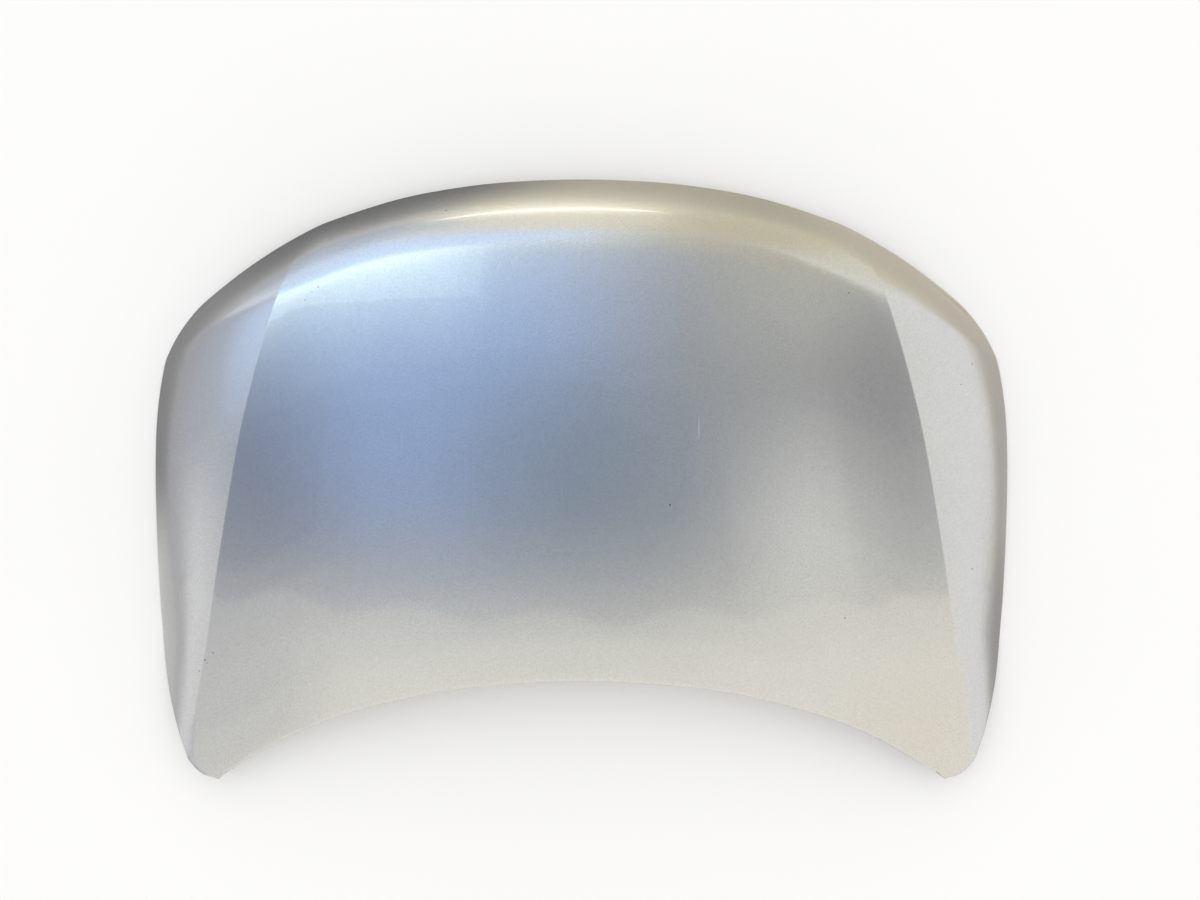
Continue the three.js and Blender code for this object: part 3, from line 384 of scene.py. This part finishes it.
def spot_group():
    """A round spot's mask at a place, for chips, the scratch and soft patches."""
    tree, given, out = group_tree(
        "Spot",
        [("Coordinates", "NodeSocketVector", None), ("Centre", "NodeSocketVector", (0, 0, 0)),
         ("Stretch", "NodeSocketVector", (1, 1, 1)),
         ("Radius", "NodeSocketFloat", 0.001), ("Softness", "NodeSocketFloat", 0.0005)],
        [("Mask", "NodeSocketFloat")])
    offset = add(tree, "ShaderNodeVectorMath", operation="SUBTRACT")
    link(tree, given.outputs["Coordinates"], offset.inputs[0])
    link(tree, given.outputs["Centre"], offset.inputs[1])
    stretched = add(tree, "ShaderNodeVectorMath", operation="MULTIPLY")
    link(tree, offset.outputs["Vector"], stretched.inputs[0])
    link(tree, given.outputs["Stretch"], stretched.inputs[1])
    length = add(tree, "ShaderNodeVectorMath", operation="LENGTH")
    link(tree, stretched.outputs["Vector"], length.inputs[0])
    outer = math_node(tree, "ADD", given.outputs["Radius"], given.outputs["Softness"])
    mask = add(tree, "ShaderNodeMapRange", interpolation_type="SMOOTHSTEP", clamp=True)
    link(tree, length.outputs["Value"], mask.inputs["Value"])
    link(tree, given.outputs["Radius"], mask.inputs["From Min"])
    link(tree, outer, mask.inputs["From Max"])
    mask.inputs["To Min"].default_value = 1
    mask.inputs["To Max"].default_value = 0
    link(tree, mask.outputs["Result"], out.inputs["Mask"])
    return tree


def speckle_group():
    """Fine random grain, such as metal flake or plating crystals."""
    tree, given, out = group_tree(
        "Speckle",
        [("Coordinates", "NodeSocketVector", None), ("Scale", "NodeSocketFloat", 1000.0)],
        [("Grain", "NodeSocketFloat")])
    cells = add(tree, "ShaderNodeTexVoronoi", feature="F1")
    link(tree, given.outputs["Coordinates"], cells.inputs["Vector"])
    link(tree, given.outputs["Scale"], cells.inputs["Scale"])
    parts = add(tree, "ShaderNodeSeparateColor")
    link(tree, cells.outputs["Color"], parts.inputs["Color"])
    link(tree, parts.outputs["Red"], out.inputs["Grain"])
    return tree


def shared_group(name, maker):
    return bpy.data.node_groups.get(name) or maker()


def soft_spot(tree, where, centre, radius, softness, stretch):
    """The mask of one spot. A stretch of 0 leaves a direction out, and one below 1 draws the spot out."""
    group = shared_group("Spot", spot_group)
    return place_group(
        tree, group, coordinates=where, centre=centre, radius=radius, softness=softness,
        stretch=stretch).outputs["Mask"]


def chip_mask(tree, where):
    """One mask for all chips, seen from above."""
    mask = None
    for x, y, radius in CHIPS:
        core = CHIP_CORE * radius
        chip = soft_spot(tree, where, centre=(x, y, 0), radius=core, softness=core, stretch=(1, 1, 0))
        mask = chip if mask is None else math_node(tree, "MAXIMUM", mask, chip)
    return mask


def speckle(tree, where, scale):
    group = shared_group("Speckle", speckle_group)
    return place_group(tree, group, coordinates=where, scale=scale).outputs["Grain"]


def grey(tree, value):
    """A grey as light as a value."""
    node = add(tree, "ShaderNodeCombineColor")
    for socket in node.inputs:
        link(tree, value, socket)
    return node.outputs["Color"]


def shade(colour, share):
    """A darker colour of the same hue."""
    return tuple(share * part for part in colour)


def paint_material():
    """Silver base coat with metal flakes under a clear coat, with a few chips and one hairline scratch."""
    skin = settings().skin
    material, tree, shader = new_material("silver_metallic_paint")
    where = object_coordinates(tree)
    flake = map_range(tree, speckle(tree, where, scale=1500.0), result=FLAKE_TONE)
    cloud = map_range(
        tree, noise(tree, where, scale=9.0, detail=3.0), result=CLOUD_TONE, span=NOISE_MIDDLE)
    tone = grey(tree, math_node(tree, "MULTIPLY", flake, cloud))
    silver = mix_colour(tree, 1.0, tuple(skin.silver), tone, "MULTIPLY")
    chips = chip_mask(tree, where)
    scratch = soft_spot(tree, where, (*SCRATCH, 0), SCRATCH_WIDTH, SCRATCH_SOFTNESS, SCRATCH_STRETCH)
    faint_scratch = math_node(tree, "MULTIPLY", scratch, SCRATCH_STRENGTH)
    silver = mix_colour(tree, chips, silver, CHIP_COLOUR)
    silver = mix_colour(tree, faint_scratch, silver, SCRATCH_COLOUR)
    link(tree, silver, shader.inputs["Base Color"])
    shader.inputs["Metallic"].default_value = 0.9
    worn = math_node(tree, "MAXIMUM", chips, scratch)
    roughness = map_range(tree, worn, result=(skin.flake_roughness, WORN_ROUGHNESS))
    link(tree, roughness, shader.inputs["Roughness"])
    link(tree, map_range(tree, worn, result=(1.0, WORN_COAT)), shader.inputs["Coat Weight"])
    shader.inputs["Coat Roughness"].default_value = skin.coat_roughness
    shader.inputs["Coat IOR"].default_value = 1.6
    return material


def inner_paint_material():
    """Thin silver base coat over primer, duller and slightly cloudy."""
    material, tree, shader = new_material("inner_base_coat")
    where = object_coordinates(tree)
    colour = tuple(settings().frame.colour)
    cloud = noise(tree, where, scale=14.0, detail=4.0, roughness=0.6)
    link(tree, mix_colour(tree, cloud, shade(colour, share=0.8), colour), shader.inputs["Base Color"])
    roughness = map_range(tree, cloud, result=(0.42, 0.58), span=NOISE_MIDDLE)
    link(tree, roughness, shader.inputs["Roughness"])
    grain = noise(tree, where, scale=700.0)
    link(tree, bump(tree, grain, distance=0.0001, strength=0.3), shader.inputs["Normal"])
    shader.inputs["Metallic"].default_value = 0.6
    return material


def zinc_material():
    """Yellow-grey passivated zinc with crystal grain."""
    material, tree, shader = new_material("passivated_zinc")
    where = object_coordinates(tree)
    colour = tuple(settings().fittings.zinc)
    cloud = noise(tree, where, scale=120.0, detail=4.0, roughness=0.6)
    link(tree, mix_colour(tree, cloud, shade(colour, share=0.75), colour), shader.inputs["Base Color"])
    roughness = map_range(tree, speckle(tree, where, scale=900.0), result=(0.3, 0.45))
    link(tree, roughness, shader.inputs["Roughness"])
    shader.inputs["Metallic"].default_value = 1.0
    return material


def rubber_material():
    """Matt black rubber with a faint grey bloom."""
    material, tree, shader = new_material("buffer_rubber")
    where = object_coordinates(tree)
    black = tuple(settings().fittings.rubber)
    bloom = map_range(tree, noise(tree, where, scale=90.0, detail=3.0), span=(0.45, 0.75))
    link(tree, mix_colour(tree, bloom, black, (0.05, 0.05, 0.05)), shader.inputs["Base Color"])
    link(tree, map_range(tree, bloom, result=(0.6, 0.85)), shader.inputs["Roughness"])
    grain = noise(tree, where, scale=1500.0)
    link(tree, bump(tree, grain, distance=0.0001, strength=0.5), shader.inputs["Normal"])
    return material


def mastic_material():
    """Cured off-white mastic."""
    material, tree, shader = new_material("cured_mastic")
    where = object_coordinates(tree)
    colour = tuple(settings().fittings.mastic)
    tone = noise(tree, where, scale=60.0, detail=3.0)
    link(tree, mix_colour(tree, tone, shade(colour, share=0.85), colour), shader.inputs["Base Color"])
    ripple = noise(tree, where, scale=300.0)
    link(tree, bump(tree, ripple, distance=0.0003, strength=0.5), shader.inputs["Normal"])
    shader.inputs["Roughness"].default_value = 0.7
    return material


# Pieces


class BONNET_OT_skin(bpy.types.Operator):
    """Smooths the outer skin between its body lines and paints it"""
    bl_idname = "bonnet.skin"
    bl_label = "Outer skin"

    def execute(self, context):
        skin = settings().skin
        piece = merged_copy("outer_skin", "painted_outer_skin")
        seam_body_lines(piece)
        join_triangles(piece, skew=math.radians(110))
        crease_edges(piece, body_line_weight)
        pin_corners(piece)
        subdivide(piece, skin.levels)
        round_body_lines(piece, skin.crease_width)
        smooth(piece, math.radians(30))
        weigh_normals(piece)
        finish_piece(piece, paint_material(), "skin_paint", "outer_skin")
        return {"FINISHED"}


def crease_x(y):
    """Distance of the body line from the middle at a place along the bonnet, and 0 past its ends."""
    for (y0, x0), (y1, x1) in zip(CREASE_LINE, CREASE_LINE[1:]):
        if y0 <= y <= y1:
            return x0 + (x1 - x0) * (y - y0) / (y1 - y0)
    return 0.0


def on_body_line(edge):
    ends = [vert.co for vert in edge.verts]
    near = all(abs(abs(end.x) - crease_x(end.y)) < CREASE_REACH for end in ends)
    return near and abs(ends[1].y - ends[0].y) > CREASE_ALONG * edge.calc_length()


def body_line_weight(edge):
    if not on_body_line(edge):
        return 0.0
    middle = (edge.verts[0].co.y + edge.verts[1].co.y) / 2
    start, end = CREASE_FADE
    return min(max((end - middle) / (end - start), 0.0), 1.0)


def seam_body_lines(piece):
    """Keeps the body lines as edges of the mesh when its triangles are joined."""
    mesh = bmesh.new()
    mesh.from_mesh(piece.data)
    for edge in mesh.edges:
        edge.seam = on_body_line(edge)
    mesh.to_mesh(piece.data)
    mesh.free()


def pin_corners(piece):
    """Keeps the corners of the rear tips where the frame has them."""
    mesh = bmesh.new()
    mesh.from_mesh(piece.data)
    layer = mesh.verts.layers.float.get("crease_vert") or mesh.verts.layers.float.new("crease_vert")
    for vert in mesh.verts:
        for x, y in TIP_CORNERS:
            if math.hypot(abs(vert.co.x) - x, vert.co.y - y) < CORNER_REACH:
                vert[layer] = 1.0
    mesh.to_mesh(piece.data)
    mesh.free()


def round_body_lines(piece, width, least=math.radians(2), upward=0.3):
    """Gives the sharp body lines of the outer face, whose normals point upward, a small radius."""
    activate(piece)
    bpy.ops.object.mode_set(mode="EDIT")
    bpy.ops.mesh.select_mode(type="EDGE")
    bpy.ops.mesh.select_all(action="DESELECT")
    mesh = bmesh.from_edit_mesh(piece.data)
    for edge in mesh.edges:
        if edge.is_manifold and on_body_line(edge) and edge.calc_face_angle(0) > least:
            if all(face.normal.z > upward for face in edge.link_faces):
                edge.select_set(True)
    bmesh.update_edit_mesh(piece.data)
    bpy.ops.mesh.bevel(offset=width, segments=2, profile=0.5)
    bpy.ops.object.mode_set(mode="OBJECT")


def weigh_normals(piece):
    """Lets the large faces lead the shading, so that narrow rounded edges stay narrow."""
    apply_modifier(piece, "WEIGHTED_NORMAL", keep_sharp=True)


class BONNET_OT_frame(bpy.types.Operator):
    """Rounds the bends of the pressed inner frame and gives it its thin paint"""
    bl_idname = "bonnet.frame"
    bl_label = "Inner frame"

    def execute(self, context):
        piece = merged_copy("inner_frame", "pressed_inner_frame")
        keep_lower_layer(piece)
        join_triangles(piece)
        subdivide(piece, settings().frame.levels)
        apply_modifier(piece, "SOLIDIFY", thickness=settings().frame.sheet, offset=-1)
        smooth(piece)
        finish_piece(piece, inner_paint_material(), "inner_paint", "inner_frame")
        return {"FINISHED"}


def keep_lower_layer(piece, cut=0.0012, upright=-0.02, slanted=-0.5):
    """Leaves the faces of a sheet that look down, steep walls too, without its narrow cut edges."""
    activate(piece)
    bpy.ops.object.mode_set(mode="EDIT")
    mesh = bmesh.from_edit_mesh(piece.data)
    for face in mesh.faces:
        width = 2 * face.calc_area() / max(side.calc_length() for side in face.edges)
        face.select_set(face.normal.z > upright or (width < cut and face.normal.z > slanted))
    bmesh.update_edit_mesh(piece.data)
    bpy.ops.mesh.delete(type="FACE")
    bpy.ops.object.mode_set(mode="OBJECT")


class BONNET_OT_hardware(bpy.types.Operator):
    """Breaks the edges of the plates, nuts, bolts and striker, and plates them"""
    bl_idname = "bonnet.hardware"
    bl_label = "Hinge and latch fittings"

    def execute(self, context):
        zinc = zinc_material()
        radius = settings().fittings.edge_radius
        for node in FLAT_HARDWARE:
            piece = merged_copy(node, f"plated_{node}")
            apply_modifier(piece, "BEVEL", width=radius, segments=2, limit_method="ANGLE")
            smooth(piece)
            finish_piece(piece, zinc, "zinc", node)
        loop = merged_copy("striker_loop", "plated_striker_loop")
        join_triangles(loop, bend=math.radians(30), skew=math.radians(80))
        crease_edges(loop, lambda edge: 1.0 if bend_of(edge) > math.radians(60) else 0.0)
        subdivide(loop, SMALL_PIECE_LEVELS)
        smooth(loop)
        finish_piece(loop, zinc, "zinc", "striker_loop")
        return {"FINISHED"}


class BONNET_OT_buffers(bpy.types.Operator):
    """Rounds the four push-in rubber buffers"""
    bl_idname = "bonnet.buffers"
    bl_label = "Rubber buffers"

    def execute(self, context):
        rubber = rubber_material()
        for node in BUFFERS:
            piece = merged_copy(node, f"moulded_{node}")
            join_triangles(piece, skew=math.radians(80))
            crease_edges(piece, lambda edge: 0.75 if bend_of(edge) > math.radians(40) else 0.0)
            subdivide(piece, SMALL_PIECE_LEVELS)
            smooth(piece, math.radians(50))
            finish_piece(piece, rubber, "rubber", node)
        return {"FINISHED"}


class BONNET_OT_mastic(bpy.types.Operator):
    """Rounds the mastic beads between the skin and the pockets of the frame"""
    bl_idname = "bonnet.mastic"
    bl_label = "Mastic beads"

    def execute(self, context):
        mastic = mastic_material()
        for pocket in POCKETS:
            piece = merged_copy(f"mastic_bead_{pocket}", f"pumped_mastic_{pocket}")
            join_triangles(piece, skew=math.radians(80))
            subdivide(piece, SMALL_PIECE_LEVELS)
            smooth(piece, math.radians(60))
            finish_piece(piece, mastic, "mastic", f"mastic_bead_{pocket}")
        return {"FINISHED"}


class BONNET_OT_studio(bpy.types.Operator):
    """Builds the pale floor, the white room, the cards that the paint mirrors and the camera"""
    bl_idname = "bonnet.studio"
    bl_label = "Studio"

    def execute(self, context):
        studio = settings().studio
        make_floor(studio)
        make_room(studio)
        make_cards(studio)
        make_camera(studio)
        context.scene.view_settings.view_transform = "Standard"
        return {"FINISHED"}


def make_floor(studio):
    deselect()
    bpy.ops.mesh.primitive_plane_add(size=FLOOR_SIZE, location=(0, 0, 0))
    floor = bpy.context.object
    floor.name = "studio_floor"
    material, tree, shader = new_material("pale_floor")
    tone = noise(tree, object_coordinates(tree), scale=2.0)
    colour = tuple(studio.floor_colour)
    link(tree, mix_colour(tree, tone, shade(colour, FLOOR_SHADE), colour), shader.inputs["Base Color"])
    shader.inputs["Roughness"].default_value = 0.9
    shader.inputs["Specular IOR Level"].default_value = 0.2
    floor.data.materials.append(material)


def make_room(studio):
    world = bpy.data.worlds.new("white_room")
    bpy.context.scene.world = world
    world.use_nodes = True
    background = world.node_tree.nodes["Background"]
    background.inputs["Color"].default_value = (*studio.room_light, 1)
    background.inputs["Strength"].default_value = 1.0


def make_cards(studio):
    """Cards that only the shiny surfaces see, so that the floor and the plain light stay even."""
    make_ceiling(studio)
    make_window(studio)
    make_strip(studio)
    make_front()
    make_left()
    make_ground()


def make_card(name, corners):
    """A flat card through its corners, black but for the light that its material gives off."""
    mesh = bpy.data.meshes.new(name)
    mesh.from_pydata(corners, [], [tuple(range(len(corners)))])
    card = bpy.data.objects.new(name, mesh)
    bpy.context.collection.objects.link(card)
    card.visible_camera = False
    card.visible_diffuse = False
    card.visible_shadow = False
    material, tree, shader = new_material(name)
    shader.inputs["Base Color"].default_value = (0, 0, 0, 1)
    shader.inputs["Specular IOR Level"].default_value = 0
    shader.inputs["Emission Strength"].default_value = 1
    card.data.materials.append(material)
    return tree, shader, object_coordinates(tree)


class Patch(NamedTuple):
    """A soft patch of colour on a card"""
    colour: tuple
    centre: tuple
    radius: float
    softness: float
    stretch: tuple = (1, 1, 1)


def patches(tree, where, base, places):
    """A card's tone: soft patches, one over the other, on a base tone."""
    tone = base
    for colour, *spot in places:
        tone = mix_colour(tree, soft_spot(tree, where, *spot), tone, colour)
    return tone


def make_ceiling(studio):
    """A grey-blue ceiling card, brighter in front, whose scalloped rear edge borders a warm white one."""
    z = studio.card_height
    tree, shader, where = make_card("ceiling_card", [(-4.6, -6, z), (4.6, -6, z), (4.6, 6, z), (-4.6, 6, z)])
    # Blue beside the window and over the left half, dark at both creases, pale at the right
    tone = patches(tree, where, (0.37, 0.385, 0.39), [
        Patch((0.5, 0.8, 1.45), (-1.2, 1.1, z), radius=0.25, softness=1.3, stretch=(0.7, 1, 1)),
        Patch((0.32, 0.5, 0.92), (-1.1, 0.2, z), radius=0.3, softness=1.15, stretch=(0.8, 1, 1)),
        Patch((0.1, 0.14, 0.26), (-2.5, -0.1, z), radius=0.15, softness=0.95, stretch=(1, 0.8, 1)),
        Patch((0.18, 0.26, 0.37), (0.0, -0.25, z), radius=0.15, softness=0.9, stretch=(0.8, 1, 1)),
        Patch((1.1, 1.1, 1.03), (1.65, -0.55, z), radius=0.1, softness=0.7, stretch=(1, 0.8, 1)),
        Patch((0.16, 0.16, 0.18), (2.25, 0.25, z), radius=0.1, softness=0.7, stretch=(1, 0.7, 1)),
        Patch((0.7, 0.7, 0.62), (1.5, 1.1, z), radius=0.1, softness=0.7),
        Patch((1.0, 0.99, 0.94), (5.6, 0.5, z), radius=2.3, softness=0.7, stretch=(1, 0.4, 1)),
    ])
    ahead = patches(tree, where, (1.0, 1.02, 0.96), [
        Patch((0.62, 0.59, 0.46), (1.5, 2.2, z), radius=0.8, softness=0.7, stretch=(1, 0.5, 1)),
        Patch((0.9, 1.15, 1.55), (-2.5, 3.0, z), radius=1.5, softness=1.1, stretch=(0.8, 1, 1)),
    ])
    behind = patches(tree, where, (1.1, 1.07, 0.96), [
        Patch((0.72, 0.72, 0.7), (-2.9, -1.7, z), radius=0.4, softness=0.9),
        Patch((1.1, 1.0, 0.84), (2.8, -2.3, z), radius=0.4, softness=0.8),
    ])
    place = add(tree, "ShaderNodeSeparateXYZ")
    link(tree, where, place.inputs["Vector"])
    forward = map_range(tree, place.outputs["Y"], span=CEILING_AHEAD, interpolation_type="SMOOTHSTEP")
    tone = mix_colour(tree, forward, tone, ahead)
    turn = math_node(tree, "MULTIPLY", place.outputs["X"], math.tau / SCALLOP_SPACING)
    scallop = math_node(tree, "MULTIPLY", math_node(tree, "SINE", turn), SCALLOP_DEPTH)
    edge = math_node(tree, "ADD", scallop, place.outputs["Y"])
    backward = map_range(tree, edge, result=(1, 0), span=CEILING_REAR_EDGE)
    link(tree, mix_colour(tree, backward, tone, behind), shader.inputs["Emission Color"])


def make_window(studio):
    """The window seen as a bright patch at the front left of the skin."""
    z = studio.card_height - WINDOW_DROP
    tree, shader, where = make_card(
        "window_card", [(-0.67, 0.91, z), (-0.66, 1.67, z), (-2.2, 3.05, z), (-5.0, 4.4, z), (-3.2, 0.91, z)])
    tone = patches(tree, where, (0.4, 0.58, 0.8), [
        Patch((0.76, 0.93, 0.97), (-1.9, 1.7, z), radius=0.4, softness=0.9, stretch=(0.6, 1, 1)),
    ])
    link(tree, tone, shader.inputs["Emission Color"])
    shader.inputs["Emission Strength"].default_value = studio.window_light


def make_strip(studio):
    """The long thin light seen in the nose, an oval that ends softly."""
    y = STRIP_Y
    tree, shader, where = make_card(
        "strip_card", [(-0.6, y, -0.02), (0.36, y, 0.02), (0.36, y, 0.16), (-0.6, y, 0.12)])
    oval = soft_spot(
        tree, where, centre=(-0.105, y, 0.07), radius=0.022, softness=0.01, stretch=(0.075, 1, 1))
    shader.inputs["Emission Color"].default_value = (*STRIP_COLOUR, 1)
    shader.inputs["Emission Strength"].default_value = studio.strip_light
    link(tree, oval, shader.inputs["Alpha"])


def make_front():
    """A wall in front: a warm glow behind the strip, dimmer at the right, pale blue at the left."""
    y = FRONT_WALL_Y
    tree, shader, where = make_card("front_card", [(-5, y, 0), (4, y, 0), (4, y, 2.4), (-5, y, 1.9)])
    tone = patches(tree, where, (0.96, 0.94, 0.79), [
        Patch((0.9, 1.1, 1.45), (-3.4, y, 2.2), radius=1.0, softness=1.3, stretch=(0.7, 1, 1)),
        Patch((0.58, 0.67, 0.8), (-2.4, y, 0.0), radius=0.5, softness=1.0, stretch=(0.6, 1, 1)),
        Patch((0.75, 0.67, 0.47), (1.25, y, 1.2), radius=0.7, softness=0.7, stretch=(1, 1, 0.4)),
        Patch((1.1, 1.04, 0.86), (-0.15, y, 1.0), radius=0.5, softness=0.5, stretch=(1, 1, 0.5)),
    ])
    link(tree, tone, shader.inputs["Emission Color"])


def make_left():
    """A grey wall at the left, bluer at the top of its front end."""
    x = LEFT_WALL_X
    tree, shader, where = make_card("left_card", [(x, -3.5, 0), (x, 1.9, 0), (x, 1.9, 2.6), (x, -3.5, 2.6)])
    tone = patches(tree, where, (0.5, 0.53, 0.6), [
        Patch((0.74, 0.95, 1.35), (x, 1.1, 2.4), radius=0.2, softness=0.9),
        Patch((0.95, 0.95, 0.94), (x, -1.1, 0.9), radius=0.7, softness=0.7, stretch=(1, 1, 0.6)),
        Patch((0.46, 0.46, 0.48), (x, 0.4, -0.2), radius=0.2, softness=0.9, stretch=(0.3, 0.3, 1)),
    ])
    link(tree, tone, shader.inputs["Emission Color"])


def make_ground():
    """The ground round the bonnet, seen along its rim: painted shade close by, darkest at the front left."""
    z = GROUND_Z
    tree, shader, where = make_card(
        "ground_card", [(-3.2, -3.2, z), (4.5, -3.2, z), (4.5, 3.4, z), (-3.2, 3.4, z)])
    far = patches(tree, where, (0.7, 0.69, 0.66), [
        Patch((0.5, 0.5, 0.52), (-2.2, 0.2, z), radius=1.0, softness=0.7, stretch=(1, 0.6, 1)),
        Patch((0.5, 0.54, 0.62), (-1.5, 1.6, z), radius=0.5, softness=0.8),
        Patch((0.84, 0.81, 0.74), (1.9, 0.2, z), radius=0.7, softness=0.5, stretch=(1, 0.5, 1)),
        Patch((0.78, 0.7, 0.5), (0.9, 1.5, z), radius=0.5, softness=0.7, stretch=(1, 0.7, 1)),
        Patch((1.05, 0.97, 0.73), (-0.08, 1.6, z), radius=0.25, softness=0.45, stretch=(1.1, 0.5, 1)),
    ])
    # Painted shade: the ground close round the bonnet is darker, for the rim of the paint to mirror
    near = patches(tree, where, (0.5, 0.46, 0.35), [
        Patch((0.14, 0.14, 0.14), (-0.5, 0.52, z), radius=0.25, softness=0.3),
        Patch((0.26, 0.26, 0.26), (-0.85, 0.0, z), radius=0.3, softness=0.2, stretch=(1, 0.8, 1)),
        Patch((0.5, 0.47, 0.43), (0.85, 0.0, z), radius=0.3, softness=0.2, stretch=(1, 0.8, 1)),
        Patch((0.36, 0.34, 0.32), (0.8, -0.5, z), radius=0.25, softness=0.2),
        Patch((0.66, 0.66, 0.65), (-0.8, -0.42, z), radius=0.25, softness=0.2),
        Patch((0.62, 0.56, 0.45), (0.62, 0.4, z), radius=0.12, softness=0.2),
    ])
    half_width, half_length = NEAR_GROUND_SHADE
    # Mask of the painted shade close round the bonnet
    near_shade_mask = soft_spot(
        tree, where, centre=(0, 0, z), radius=1.0, softness=NEAR_GROUND_SHADE_SOFTNESS,
        stretch=(1 / half_width, 1 / half_length, 0))
    link(tree, mix_colour(tree, near_shade_mask, far, near), shader.inputs["Emission Color"])


def make_camera(studio):
    data = bpy.data.cameras.new("studio_camera")
    data.lens = studio.lens
    data.sensor_width = SENSOR_WIDTH
    data.shift_x = studio.shift
    camera = bpy.data.objects.new("studio_camera", data)
    bpy.context.collection.objects.link(camera)
    camera.location = (0, -studio.camera_back, studio.camera_height)
    camera.rotation_euler = (studio.camera_pitch, 0, 0)
    bpy.context.scene.camera = camera


class BonnetFinish(bpy.types.PropertyGroup):
    """All settings of the bonnet's finish"""
    skin: PointerProperty(name="Outer skin", description="Outer skin", type=SkinSettings)
    frame: PointerProperty(name="Inner frame", description="Inner frame", type=FrameSettings)
    fittings: PointerProperty(name="Fittings", description="Fittings", type=FittingSettings)
    studio: PointerProperty(name="Studio", description="Studio", type=StudioSettings)


OPERATORS = [
    BONNET_OT_skin, BONNET_OT_frame, BONNET_OT_hardware,
    BONNET_OT_buffers, BONNET_OT_mastic, BONNET_OT_studio,
]


class BONNET_PT_panel(bpy.types.Panel):
    """Lists the bonnet's settings and its pieces"""
    bl_idname = "BONNET_PT_panel"
    bl_label = "Bonnet"
    bl_space_type = "VIEW_3D"
    bl_region_type = "UI"
    bl_category = "Bonnet"

    def draw(self, context):
        layout = self.layout
        for operator in OPERATORS:
            layout.operator(operator.bl_idname)
        for group in ("skin", "frame", "fittings", "studio"):
            box = layout.box()
            values = getattr(context.scene.bonnet_finish, group)
            for name in values.__annotations__:
                box.prop(values, name)


CLASSES = [
    SkinSettings, FrameSettings, FittingSettings, StudioSettings, BonnetFinish, *OPERATORS, BONNET_PT_panel,
]


def register():
    for item in CLASSES:
        bpy.utils.register_class(item)
    bpy.types.Scene.bonnet_finish = PointerProperty(
        name="Bonnet finish", description="Settings of the bonnet's finish", type=BonnetFinish)


def unregister():
    del bpy.types.Scene.bonnet_finish
    for item in reversed(CLASSES):
        bpy.utils.unregister_class(item)


def main():
    register()
    bpy.ops.bonnet.skin()
    bpy.ops.bonnet.frame()
    bpy.ops.bonnet.hardware()
    bpy.ops.bonnet.buffers()
    bpy.ops.bonnet.mastic()
    bpy.ops.bonnet.studio()


if __name__ == "__main__":
    main()
